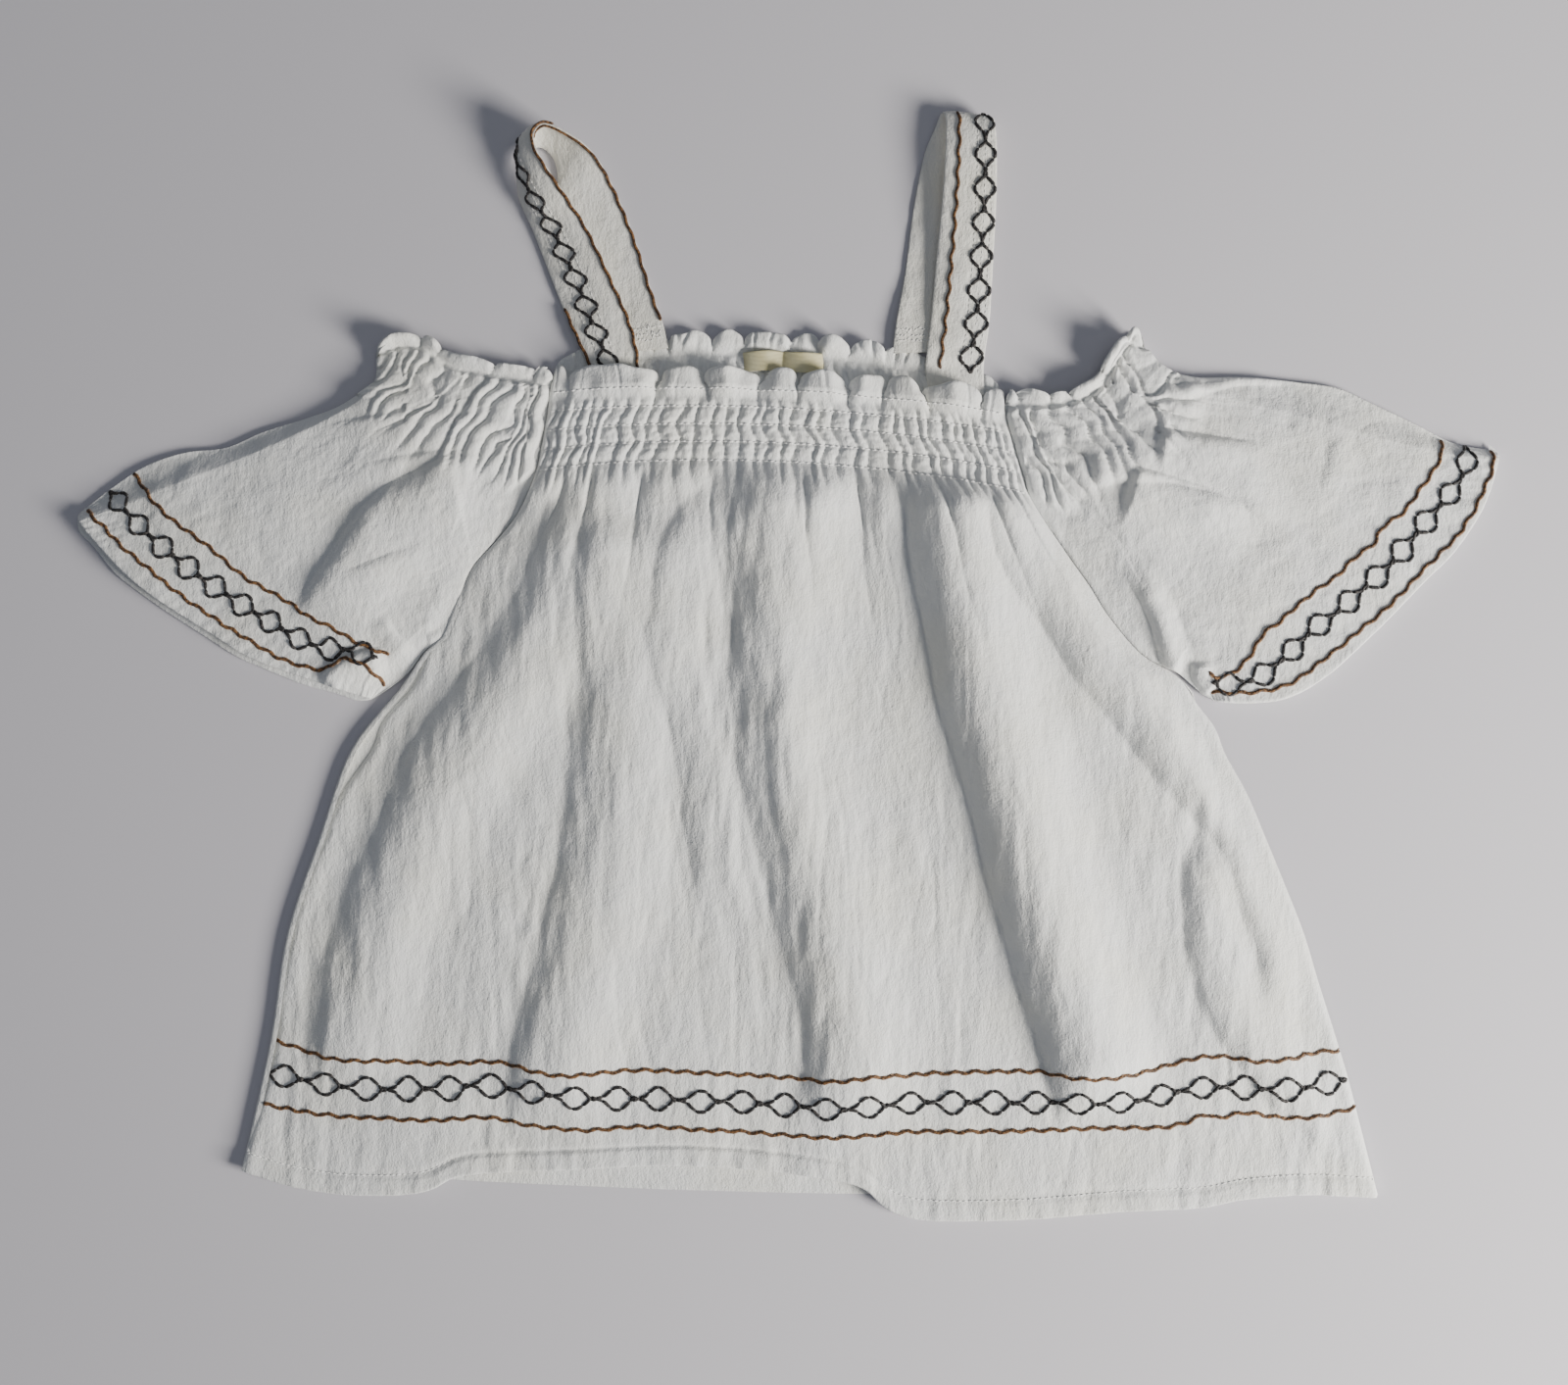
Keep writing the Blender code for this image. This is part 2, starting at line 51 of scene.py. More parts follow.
def makeNoise(seed):
    # seeded gradient noise on two arrays, about -1 to 1
    cells = 128
    turn = np.random.default_rng(seed).uniform(0, 2 * np.pi, (cells, cells))

    def noise(x, y):
        x, y = np.broadcast_arrays(np.asarray(x, float), np.asarray(y, float))
        ix, iy = np.floor(x).astype(int), np.floor(y).astype(int)
        fx, fy = x - ix, y - iy

        def corner(dx, dy):
            a = turn[(ix + dx) % cells, (iy + dy) % cells]
            return np.cos(a) * (fx - dx) + np.sin(a) * (fy - dy)

        sx, sy = ease(fx), ease(fy)
        low = mix(corner(0, 0), corner(1, 0), sx)
        high = mix(corner(0, 1), corner(1, 1), sx)
        return 1.5 * mix(low, high, sy)

    return noise


def smoothRun(points, perStep=12):
    # Catmull-Rom through the points of a table, any number of columns
    p = np.asarray(points, float)
    padded = np.vstack([2 * p[0] - p[1], p, 2 * p[-1] - p[-2]])
    out = []
    for i in range(len(p) - 1):
        a, b, c, d = padded[i:i + 4]
        t = np.linspace(0, 1, perStep, endpoint=False)[:, None]
        curve = 2 * a - 5 * b + 4 * c - d + t * (3 * (b - c) + d - a)
        out.append(b + 0.5 * t * (c - a + t * curve))
    out.append(p[-1:])
    return np.vstack(out)


def readColumns(want, at, table):
    # each column of a table at the wanted places, where its rows stand at the places "at"
    return np.stack([np.interp(want, at, table[:, k]) for k in range(table.shape[1])], -1)


def unit(v, least=1e-9):
    return v / np.maximum(np.linalg.norm(v, axis=-1, keepdims=True), least)


def lengths(line):
    # length along a line at each of its points
    steps = np.linalg.norm(np.diff(line, axis=0), axis=1)
    return np.concatenate([[0], np.cumsum(steps)])


def moved(points, dx, dy, dz):
    return points + np.stack(np.broadcast_arrays(dx, dy, dz), -1)


class Run:
    # a smooth line in plan or in space, read by its share of length
    def __init__(self, points, perStep=12):
        self.line = smoothRun(points, perStep)
        self.at = lengths(self.line)
        self.length = self.at[-1]

    def read(self, share):
        want = np.clip(np.asarray(share, float), 0, 1) * self.length
        return readColumns(want, self.at, self.line)


def readRows(table, at):
    # columns of a table at fractional rows, smoothly
    fine = smoothRun(table, 16)
    where = np.linspace(0, len(table) - 1, len(fine))
    return readColumns(at, where, fine)


def besideLine(x, y, line):
    # signed distance (positive to the right of travel) and share of length along a plan line
    best = np.full(x.shape, 1e9)
    side = np.zeros(x.shape)
    share = np.zeros(x.shape)
    steps = np.linalg.norm(np.diff(line, axis=0), axis=1)
    start = np.concatenate([[0], np.cumsum(steps)])
    for (ax, ay), (bx, by), run, begin in zip(line[:-1], line[1:], steps, start):
        tx, ty = (bx - ax) / run, (by - ay) / run
        along = (x - ax) * tx + (y - ay) * ty
        on = np.clip(along, 0, run)
        gap = np.hypot(x - ax - on * tx, y - ay - on * ty)
        nearer = gap < best
        best = np.where(nearer, gap, best)
        side = np.where(nearer, -np.sign((x - ax) * -ty + (y - ay) * tx), side)
        share = np.where(nearer, (begin + on) / start[-1], share)
    return best * side, share, start[-1]


tubeEnd = 0.45          # size of a thread's ends
floorClearance = 0.1          # nothing goes lower than this
foldBend = 2.3          # how much steeper a fold's face is at its foot
foldEnds = {"lead": 18.0, "tail": 30.0}          # over these lengths a fold rises and dies away


def foldHeight(x, y, folds, noise):
    # each fold: a sharp valley along its line, a steep face on its ridge side, then a long fall
    total = np.zeros_like(x)
    for fold in folds:
        line = smoothRun(fold["line"], 5)
        gap, share, length = besideLine(x, y, line)
        wander = noise(x / 14.0 + 3.1, y / 26.0) + 0.3 * noise(x / 5.0, y / 9.0 + 9.7)
        gap = gap * fold.get("side", -1) + fold.get("crinkle", 0.0) * wander
        face, back = fold["face"], fold["back"]
        lead, tail = (fold.get(key, foldEnds[key]) for key in ("lead", "tail"))
        rise = 1 - np.clip(1 - gap / face, 0, 1) ** foldBend
        shape = np.where(gap < face, np.where(gap > 0, rise, 0.0), 1 - ease((gap - face) / back))
        ends = ease(share * length / lead) * ease((1 - share) * length / tail)
        total += fold["height"] * shape * ends
    return total


def creases(x, y, noise, wide, tall, width):
    # thin pressed-in lines that wander mostly along y
    line = noise(x / wide + 0.35 * noise(x / wide / 2, y / tall * 2), y / tall)
    present = ease(noise(x / wide / 3 + 7.7, y / tall / 1.6 + 2.2) * 1.6 + 0.55)
    return -np.exp(-(line / width) ** 2) * present


def makeMesh(name, vertices, faces, materialName):
    vertices = np.array(vertices)
    vertices[:, 2] = np.maximum(vertices[:, 2], floorClearance)
    mesh = bpy.data.meshes.new(name)
    mesh.from_pydata((vertices / 1000).tolist(), [], faces)
    mesh.polygons.foreach_set("use_smooth", [True] * len(mesh.polygons))
    mesh.update()
    piece = bpy.data.objects.new(name, mesh)
    bpy.context.scene.collection.objects.link(piece)
    mesh.materials.append(bpy.data.materials[materialName])
    return piece


def gridFaces(rows, columns, offset, flip):
    a = (np.arange(rows - 1)[:, None] * columns + np.arange(columns - 1)[None]).ravel() + offset
    quads = np.stack([a, a + 1, a + 1 + columns, a + columns], 1)
    return (quads[:, ::-1] if flip else quads).tolist()


def makeGrids(name, grids, materialName, flip=False):
    # several separate patches in one piece
    vertices, faces = [], []
    for grid in grids:
        rows, columns = grid.shape[:2]
        faces += gridFaces(rows, columns, sum(len(v) for v in vertices), flip)
        vertices.append(grid.reshape(-1, 3))
    return makeMesh(name, np.vstack(vertices), faces, materialName)


def makeGrid(name, grid, materialName, flip=False):
    return makeGrids(name, [grid], materialName, flip)


def makeTubes(name, paths, radius, materialName, flat=0.8, sides=6):
    # short closed tubes in one piece: each path is a pair, points and the cloth's normals there
    vertices, faces = [], []
    angles = np.arange(sides) * 2 * np.pi / sides
    for points, normals in paths:
        count = len(points)
        run = unit(np.gradient(points, axis=0))
        across = unit(np.cross(run, normals))
        up = np.cross(across, run)
        taper = np.ones(count)
        taper[0] = taper[-1] = tubeEnd
        start = len(vertices)
        for p, a, n, size in zip(points, across, up, taper * radius):
            for angle in angles:
                vertices.append(p + size * (np.cos(angle) * a + flat * np.sin(angle) * n))
        for i in range(count - 1):
            for k in range(sides):
                b = start + i * sides
                n = (k + 1) % sides
                faces.append((b + k, b + n, b + sides + n, b + sides + k))
        faces.append(tuple(start + k for k in reversed(range(sides))))
        faces.append(tuple(start + (count - 1) * sides + k for k in range(sides)))
    return makeMesh(name, vertices, faces, materialName)


class Ground:
    # reads the height of a finished piece under a place in plan, in metres
    above = 0.06          # over every piece
    edge = 0.004          # about where the edges lie

    def __init__(self, piece):
        mesh = piece.data
        vertices = [v.co.copy() for v in mesh.vertices]
        self.tree = BVHTree.FromPolygons(vertices, [tuple(p.vertices) for p in mesh.polygons])

    def lay(self, plan, lift):
        points, normals = [], []
        for x, y in plan:
            above = Vector((x / 1000, y / 1000, self.above))
            place, normal = self.tree.ray_cast(above, Vector((0, 0, -1)))[:2]
            if place is None:          # beside the piece
                place, normal = self.tree.find_nearest(Vector((x / 1000, y / 1000, self.edge)))[:2]
            if normal.z < 0:
                normal = -normal
            points.append(np.array(place) * 1000 + np.array(normal) * lift)
            normals.append(np.array(normal))
        return np.array(points), np.array(normals)


class Wire:
    # one socket of a shader, with arithmetic on it
    def __init__(self, finish, socket):
        self.finish = finish
        self.socket = socket

    def __add__(self, other):
        return self.finish.maths("ADD", self, other)

    def __radd__(self, other):
        return self.finish.maths("ADD", other, self)

    def __mul__(self, other):
        return self.finish.maths("MULTIPLY", self, other)


class Finish:
    # a material built from nodes
    def __init__(self, name, **constants):
        self.material = bpy.data.materials.new(name)
        self.material.use_nodes = True
        self.tree = self.material.node_tree
        self.shader = self.tree.nodes["Principled BSDF"]
        for socket, value in constants.items():
            self.shader.inputs[socket.replace("_", " ")].default_value = value

    def feed(self, socket, value):
        if isinstance(value, Wire):
            self.tree.links.new(value.socket, socket)
        else:
            socket.default_value = value

    def node(self, kind, settings=None, output=0, **inputs):
        made = self.tree.nodes.new(kind)
        for key, value in (settings or {}).items():
            setattr(made, key, value)
        for key, value in inputs.items():
            name = key.replace("_", " ")          # "at" and a number picks a socket by its place
            socket = made.inputs[int(name[2:])] if name.startswith("at") else made.inputs[name]
            self.feed(socket, value)
        return Wire(self, made.outputs[output])

    def maths(self, operation, a, b):
        return self.node("ShaderNodeMath", {"operation": operation}, at0=a, at1=b)

    def limit(self, value, low, high):
        return self.node("ShaderNodeMapRange", {"clamp": True}, at0=value, at1=low, at2=high)

    def blend(self, factor, a, b, how="MIX"):
        return self.node(
            "ShaderNodeMix", {"data_type": "RGBA", "blend_type": how}, output=2, at0=factor, at6=a, at7=b
        )

    def place(self, scale=(1, 1, 1)):
        coordinates = self.node("ShaderNodeTexCoord", output=3)
        return self.node("ShaderNodeVectorMath", {"operation": "MULTIPLY"}, at0=coordinates, at1=scale)

    def noise(self, place, scale, detail=2.0, roughness=0.5):
        return self.node("ShaderNodeTexNoise", Vector=place, Scale=scale, Detail=detail,
                         Roughness=roughness)

    def bump(self, height, distance, strength=1.0):
        return self.node("ShaderNodeBump", Height=height, Distance=distance, Strength=strength)

    def send(self, socket, value):
        self.feed(self.shader.inputs[socket], value)


# finishes
cottonLook = {
    "light": (0.785, 0.79, 0.775, 1), "shade": (0.64, 0.665, 0.70, 1), "warm": (0.79, 0.775, 0.685, 1),
    "grain": 1250.0, "crepe": 520.0, "slub": 190.0, "cloud": 28.0, "bump": 0.0010,
}


def cottonFinish(name, tint, warmth):
    look = cottonLook
    finish = Finish(name, Roughness=0.86, Sheen_Weight=0.18, Sheen_Roughness=0.5, Specular_IOR_Level=0.28)
    place = finish.place()
    tall = finish.place((1.0, 0.42, 1.0))
    wide = finish.place((0.5, 1.0, 1.0))
    crepe = finish.noise(tall, look["crepe"], 3.0, 0.6)          # the crinkle of the yarn
    grain = finish.noise(place, look["grain"], 2.0, 0.6)
    slub = finish.noise(wide, look["slub"], 3.0, 0.55)
    cloud = finish.noise(place, look["cloud"], 3.0, 0.55)
    fleck = finish.limit(crepe, 0.36, 0.66)
    colour = finish.blend(fleck * 0.16, look["light"], look["shade"])
    colour = finish.blend(finish.limit(cloud, 0.42, 0.72) * warmth, colour, look["warm"])
    colour = finish.blend(finish.limit(grain, 0.58, 0.75) * 0.10, colour, look["shade"])
    finish.send("Base Color", finish.blend(1.0, colour, tint, "MULTIPLY"))
    relief = crepe * 0.55 + grain * 0.25 + slub * 0.35
    finish.send("Normal", finish.bump(relief, look["bump"], 0.85))
    finish.send("Roughness", 0.78 + grain * 0.14)


cottonFinish("creamCotton", (1.0, 1.0, 1.0, 1), 0.5)
cottonFinish("strapCotton", (1.0, 0.98, 0.935, 1), 0.6)


def threadFinish(name, grooveShadeAndDarkPly, pale, mixLow, mixHigh, twist, sheen):
    # spun thread: twisted plies, darker in their grooves; that dark is partly the thread's own tone and
    # partly painted shade
    finish = Finish(name, Roughness=0.6, Sheen_Weight=sheen, Specular_IOR_Level=0.35)
    place = finish.place()
    ply = finish.noise(place, twist, 2.0, 0.5)
    # painted shade: the grooves of the ply relief take the darker colour, over the thread's own two tones
    finish.send("Base Color", finish.blend(finish.limit(ply, mixLow, mixHigh), grooveShadeAndDarkPly, pale))
    finish.send("Normal", finish.bump(ply, 0.0004, 0.8))
    finish.send("Roughness", 0.5 + ply * 0.25)


threadFinish("brownThread", (0.045, 0.019, 0.006, 1), (0.21, 0.10, 0.034, 1), 0.44, 0.64, 900.0, 0.12)
threadFinish("tanThread", (0.16, 0.075, 0.03, 1), (0.48, 0.31, 0.19, 1), 0.38, 0.62, 1100.0, 0.2)
threadFinish("blackThread", (0.008, 0.007, 0.008, 1), (0.075, 0.065, 0.062, 1), 0.50, 0.74, 1000.0, 0.15)
threadFinish("sewingThread", (0.80, 0.80, 0.80, 1), (0.95, 0.94, 0.92, 1), 0.35, 0.6, 1300.0, 0.3)


def tapeFinish():
    # woven label tape: fine ribs across its width
    finish = Finish("labelTape", Roughness=0.55, Sheen_Weight=0.2)
    place = finish.place()
    along = {"bands_direction": "Y"}
    ribs = finish.node("ShaderNodeTexWave", along, Vector=place, Scale=620.0, Distortion=1.2)
    cloud = finish.noise(place, 140.0, 2.0)
    colour = finish.blend(finish.limit(cloud, 0.35, 0.7), (0.66, 0.60, 0.33, 1), (0.75, 0.70, 0.45, 1))
    finish.send("Base Color", finish.blend(ribs * 0.12, colour, (0.45, 0.41, 0.24, 1)))
    finish.send("Normal", finish.bump(ribs * 0.6 + cloud * 0.4, 0.0003, 0.6))
    finish.send("Roughness", 0.48 + cloud * 0.2)


tapeFinish()
floorFinish = Finish("paleFloor", Roughness=0.95, Base_Color=(0.60, 0.585, 0.625, 1))
print("finishes made")


# camera, floor and light
view = {"lens": 35.0, "sensor": 36.0, "height": 0.622, "x": -0.002, "y": -0.0106}          # metres
studio = {"floorReach": 4.0, "floorDrop": 0.0004, "sky": (0.76, 0.83, 0.98, 1), "skyStrength": 0.16}
camera = bpy.data.objects.new("camera", bpy.data.cameras.new("camera"))
camera.data.lens = view["lens"]
camera.data.sensor_width = view["sensor"]
camera.location = (view["x"], view["y"], view["height"])
bpy.context.scene.collection.objects.link(camera)
bpy.context.scene.camera = camera


def makeFloor():
    mesh = bpy.data.meshes.new("floor")
    reach = studio["floorReach"]
    corners = [(-reach, -reach, 0), (reach, -reach, 0), (reach, reach, 0), (-reach, reach, 0)]
    mesh.from_pydata(corners, [], [(0, 1, 2, 3)])
    mesh.materials.append(floorFinish.material)
    floor = bpy.data.objects.new("floor", mesh)
    floor.location.z = -studio["floorDrop"]
    bpy.context.scene.collection.objects.link(floor)


def makeLight(name, place, size, energy, colour):
    # a square lamp that faces the middle of the garment
    lamp = bpy.data.lights.new(name, "AREA")
    lamp.size = size
    lamp.energy = energy
    lamp.color = colour
    lit = bpy.data.objects.new(name, lamp)
    lit.location = place
    lit.rotation_euler = (-Vector(place)).to_track_quat("-Z", "Y").to_euler()
    bpy.context.scene.collection.objects.link(lit)


makeFloor()
makeLight("window", (1.19, -0.55, 0.58), 0.5, 49.0, (1.0, 0.965, 0.905))
makeLight("ceiling", (0.3, 0.1, 1.9), 1.6, 3.5, (0.93, 0.96, 1.0))
world = bpy.data.worlds.new("studio")
bpy.context.scene.world = world
world.use_nodes = True
world.node_tree.nodes["Background"].inputs["Color"].default_value = studio["sky"]
world.node_tree.nodes["Background"].inputs["Strength"].default_value = studio["skyStrength"]
print("camera, floor and light set")


# seams from the neck down: wearer's right seam x y, left seam x y, dip of the front, dip of the back.
# Rows 2 to 6 are the five elastic rows, row 12 is the underarm. Places are in mm.
seamRows = [
    (-96, 118.4, 86.8, 108.8, -3.8, -19.5), (-96.6, 114.6, 87.4, 105.4, -4.2, -18.5),
    (-97.2, 110.8, 88, 102, -5, -17.5), (-98.4, 103, 90.4, 94, -6, -16),
    (-99.8, 95, 92.8, 86, -7, -14.5), (-101.4, 87, 95.2, 77.8, -8, -13),
    (-103.2, 78.8, 98, 69.2, -8.8, -11), (-109.2, 63.6, 106, 56, -7, -7),
    (-118, 52, 114, 44, -6, -6), (-128.4, 40.4, 122, 32.8, -5, -5),
    (-134.4, 26, 130.2, 20, -4, -4), (-140, 12, 143.4, 4.8, -3, -3),
    (-146.8, 6, 157.8, -4, -1, -1),
]
# the front's side edges below the underarm, in the same columns
frontRows = [
    (-152, -7, 166, -15, 1, 0), (-165, -22, 173.6, -25, 0, 0), (-170, -34, 178, -36, 0, 0),
    (-182, -52, 186.8, -52, 0, 0), (-189, -70, 194.4, -70, 0, 0), (-197, -90, 202.6, -90, 0, 0),
    (-202, -109, 210, -109, 0, 0), (-206, -129, 216, -129, 1, 0),
    (-208.4, -150, 222.6, -150, 4, 0), (-211.8, -169, 228, -168, 7, 0),
    (-217.2, -188, 233.4, -189, 5, 0),
]
# the hem as it lies, x y
frontHem = [
    (-222, -204), (-204, -209.5), (-184, -213), (-160, -213.5), (-146, -211.5),
    (-136, -206.5), (-124, -204.6), (-98, -203.6), (-66, -202), (-42, -201.6),
    (-18, -203), (6, -205.5), (24, -208.6), (32, -212), (38, -218),
    (48, -222.6), (62, -224), (98, -223.2), (138, -220), (166, -218.8),
    (182, -215.6), (198, -214), (214, -213.6), (240, -215),
]
tuckFrom, tuckTo = -138.0, 32.0        # between these the hem has folded under
# heights of the middle of the cloth: on the floor, on the back panel, on a strap, at the raglan seams
backMid, onBack, onStrap, raglanMid = 0.6, 2.1, 3.9, 2.7
elasticFirst, bandFoot, underarmRow = 2, 6, 12
neckFrom, neckTo = -97.0, 88.0
flare = {"top": 118.0, "tall": 322.0, "right": 124.0, "left": 150.0, "blend": 0.22}
roughNoise, softNoise, fineNoise = makeNoise(11), makeNoise(23), makeNoise(37)


def panelPlan(u, level, rows, dipColumn, roundOff):
    # u runs from the wearer's right edge to the left one, and the cloth flares evenly between them
    row = readRows(rows, level)
    rightX, rightY, leftX, leftY = (row[..., k] for k in range(4))
    down = (flare["top"] - (rightY + leftY) / 2) / flare["tall"]
    flareRight, flareLeft = neckFrom - flare["right"] * down, neckTo + flare["left"] * down
    x = mix(flareRight, flareLeft, u)
    x = x + (rightX - flareRight) * np.maximum(0, 1 - u / flare["blend"]) ** 1.5
    x = x + (leftX - flareLeft) * np.maximum(0, 1 - (1 - u) / flare["blend"]) ** 1.5
    dip = np.maximum(0, np.sin(np.pi * u)) ** roundOff
    return x, mix(rightY, leftY, u) - row[..., dipColumn] * dip


def makeCells(start, end, pitch, wobble, seed):
    # uneven gathers along a line: their edges, and how tall each stands
    random = np.random.default_rng(seed)
    edges = [start]
    while edges[-1] < end:
        edges.append(edges[-1] + pitch * (1 + wobble * random.uniform(-1, 1)))
    return np.array(edges), random.uniform(0.7, 1.15, len(edges) + 1)


def ridge(at, cells, blunt=0.55):
    # round-topped gathers with sharp creases between them
    edges, tall = cells
    phase = np.interp(at, edges, np.arange(len(edges)))
    index = np.clip(phase.astype(int), 0, len(edges) - 1)
    return np.abs(np.sin(np.pi * phase)) ** blunt * tall[index]


def lobeShape(x, edges, tall, square):
    # flat-topped lobes of a ruffle, with steep gaps between: height and share across each lobe
    index = np.clip(np.searchsorted(edges, x) - 1, 0, len(edges) - 2)
    edges = np.asarray(edges)
    share = np.clip((x - edges[index]) / (edges[index + 1] - edges[index]), 0, 1)
    slope = np.where(index % 3 == 1, 1 - share, share)
    return np.sin(np.pi * share) ** square * np.asarray(tall)[index] * (1.2 - 0.5 * slope), share


def bandRelief(across, level, cells, depth, shift, starts, pinched=1.0):
    # smocked band: gathers that step sideways between the elastic rows and pinch in on them
    inBand = ease((level - elasticFirst - starts) / 0.7) * ease((bandFoot + 0.8 - level) / 0.8)
    step = np.floor(level)
    local = 0.5 - 0.5 * np.cos(np.pi * (level - step))
    jog = mix(roughNoise(across / 9, step * 3.7), roughNoise(across / 9, (step + 1) * 3.7), local)
    swing = 0.55 * shift * np.cos(np.pi * level)
    steps = across + swing + 1.7 * jog + 0.5 * roughNoise(across / 4, level * 1.7)
    nearest = np.round(np.clip(level, elasticFirst, bandFoot))
    pinch = pinched * np.exp(-(((level - nearest) * 7.8) / 1.25) ** 2)
    tops = ridge(steps, cells, 0.48) * (1 - 0.22 * pinch)
    tops = tops + 0.22 * pinched * fineNoise(across / 2.2, level * 4.5)
    return inBand * (depth * tops - 0.30 * pinch + 0.4)


# front panel
front = {
    "columns": 330, "rowStep": 1.75, "headerRows": 14, "bandRows": 46, "hemRows": 15, "hemRadius": 0.95,
    "hemSewn": 7.4, "hemTurn": 8.0, "hemTuck": 17.0, "gatherPitch": 5.0, "gatherDepth": 2.0, "lift": 2.5,
    "rollRadius": 1.25, "rollDown": 3.2, "seamDive": 0.9, "crumpled": 1.6,
    "lobeEdges": [-98, -89, -54, -33.2, -12.4, 3.2, 24.8, 38, 56, 77.6, 90],
    "lobeTall": [2.4, 6.2, 5, 6, 4.4, 6.6, 4.6, 6.2, 6, 2.6],
    "tubeEdges": [-97.5, -80, -67.6, -50.4, -26.8, 2, 19, 32.8, 47.6, 66.4, 78.4, 88.5],
    "tubeTall": [1.6, 1.8, 2.4, 2.6, 2.9, 2.4, 2.2, 2.6, 2.6, 2, 1.4],
}
frontFolds = [
    {"line": [(-94, 74), (-104, 48), (-114, 24), (-130, 0), (-146, -20), (-160, -44), (-170, -68),
              (-182, -96), (-190, -120), (-196, -148), (-200, -176)], "face": 20, "back": 28,
     "height": 4.4, "crinkle": 1.7},
    {"line": [(-82, 66), (-86, 32), (-86, 0), (-88, -28), (-90, -60), (-96, -88), (-102, -112),
              (-108, -140), (-114, -164), (-118, -194)], "face": 20, "back": 30, "height": 4.6,
     "crinkle": 1.8},
    {"line": [(-26, 80), (-46, 62), (-54, 46), (-56, 24), (-57, 6), (-47, -32), (-42, -68), (-34, -108)],
     "face": 14, "back": 24, "height": 3, "crinkle": 1},
    {"line": [(-21.6, 84), (-24, 56), (-22, 32), (-24, 0), (-20, -40), (-14, -72), (-6, -100), (-1, -120),
              (4, -144), (6, -164), (-1, -190)], "face": 20, "back": 34, "height": 5.8, "crinkle": 1.8},
    {"line": [(-11, -2), (-10, -30), (-7, -60), (-2, -92)], "face": 8, "back": 16, "height": 1.6,
     "crinkle": 1.6},
    {"line": [(2.8, 84), (3, 62), (5, 42)], "face": 9, "back": 16, "height": 2.4, "crinkle": 0.4},
    {"line": [(33.6, 82), (33, 62), (35, 40)], "face": 9, "back": 16, "height": 2.4, "crinkle": 0.4},
    {"line": [(48, 80), (48, 48), (54, 16), (60, -16), (70, -48), (78, -80), (86, -108), (94, -136),
              (102, -160), (110, -192)], "face": 20, "back": 32, "height": 10.5, "crinkle": 0.7},
    {"line": [(79, 74), (82, 48), (90, 32), (102, 16), (118, -8), (138, -32), (158, -56), (174, -72),
              (182, -96), (190, -120), (194, -150)], "face": 16, "back": 26, "height": 5.6, "crinkle": 0.8},
    {"line": [(162, -64), (158, -100), (168, -138), (188, -170), (208, -190), (226, -214)], "face": 12,
     "back": 22, "height": 3.4, "crinkle": 1.8},
]


frontCells = makeCells(-110, 110, front["gatherPitch"], 0.32, 5)


def crumple(x, y):
    # the sides of the most crinkled folds are crushed
    near = 0 * x
    for fold in frontFolds:
        if fold["crinkle"] >= front["crumpled"]:
            gap = besideLine(x, y, smoothRun(fold["line"], 3))[0]
            near += np.exp(-((np.abs(gap) - 3) / 13) ** 2)
    return np.minimum(near, 1) * (0.5 * fineNoise(x / 4.4, y / 19) - 0.45 * np.abs(roughNoise(x / 8,
                                                                                              y / 26)))


def frontHeight(x, y, u, level, along):
    # along: millimetres across the gathered neck, from its middle
    edge = np.minimum(u, 1 - u)
    atSeam = mix(raglanMid, onBack, ease((level - underarmRow) / 2))
    high = mix(onStrap, atSeam, ease((level - bandFoot) / 2))
    opened = ease(edge / 0.12)
    nearNeck = mix(raglanMid, onStrap, ease(edge / 0.04))
    low = np.where(level <= bandFoot, nearNeck, mix(high, onBack + front["lift"], opened))
    low = mix(atSeam, low, ease(edge / 0.05))
    hem = ease((level - 21) / 3)
    low = mix(low, onBack + 2 * front["hemRadius"] + 0.8 * opened, hem)
    z = low + foldHeight(x, y, frontFolds, softNoise) * ease(edge / 0.05) * (0.35 + 0.65 * (1 - hem))
    # below the band the gathers die away soonest, then the tubes, then long soft waves take over
    body = ease((level - bandFoot - 0.1) / 0.6)
    below = np.maximum(level - bandFoot, 0) * 15.0
    wander = softNoise(along / 26, below / 34)
    near = 0.4 * np.exp(-below / 4) * ridge(along + 3.0 * wander * ease(below / 30), frontCells)
    mid = 2.0 * np.exp(-below / 30) * lobeShape(along + 1.5 * wander, front["tubeEdges"], front["tubeTall"],
                                                0.4)[0]
    far = (1 - np.exp(-below / 50)) * softNoise(along / 17 + 4, y / 85) * (1 - 0.5 * hem)
    soft = 0.30 * fineNoise(x / 6.5, y / 22) + 0.14 * roughNoise(x / 2.8, y / 6) + 0.6 * softNoise(x / 33,
                                                                                                   y / 60)
    soft += 0.30 * creases(x, y, fineNoise, 12.0, 110.0, 0.10)
    soft += 0.26 * creases(x + 50, y, roughNoise, 7.0, 52.0, 0.12)
    soft += 0.16 * creases(y, x, softNoise, 24.0, 30.0, 0.06) + crumple(x, y)
    return z + body * (1.3 * near + mid + 0.7 * far + soft * ease(edge / 0.02))


def rowSteps(table, first, last, step):
    # fractional rows about a step apart down the middle of a panel
    at = [float(first)]
    middle = [(row[1] + row[3]) / 2 for row in table]
    for k in range(first, last):
        count = max(1, round(abs(middle[k] - middle[k + 1]) / step))
        at += [k + (n + 1) / count for n in range(count)]
    return np.array(at)


def panelNet(own, rows):
    # rows down a panel from the neck, and shares across it
    header = np.linspace(0, elasticFirst, own["headerRows"])
    band = np.linspace(elasticFirst, bandFoot, own["bandRows"])[1:]
    body = rowSteps(rows, bandFoot, len(rows) - 1, own["rowStep"])[1:]
    return np.linspace(0, 1, own["columns"])[None, :], np.concatenate([header, band, body])[:, None]


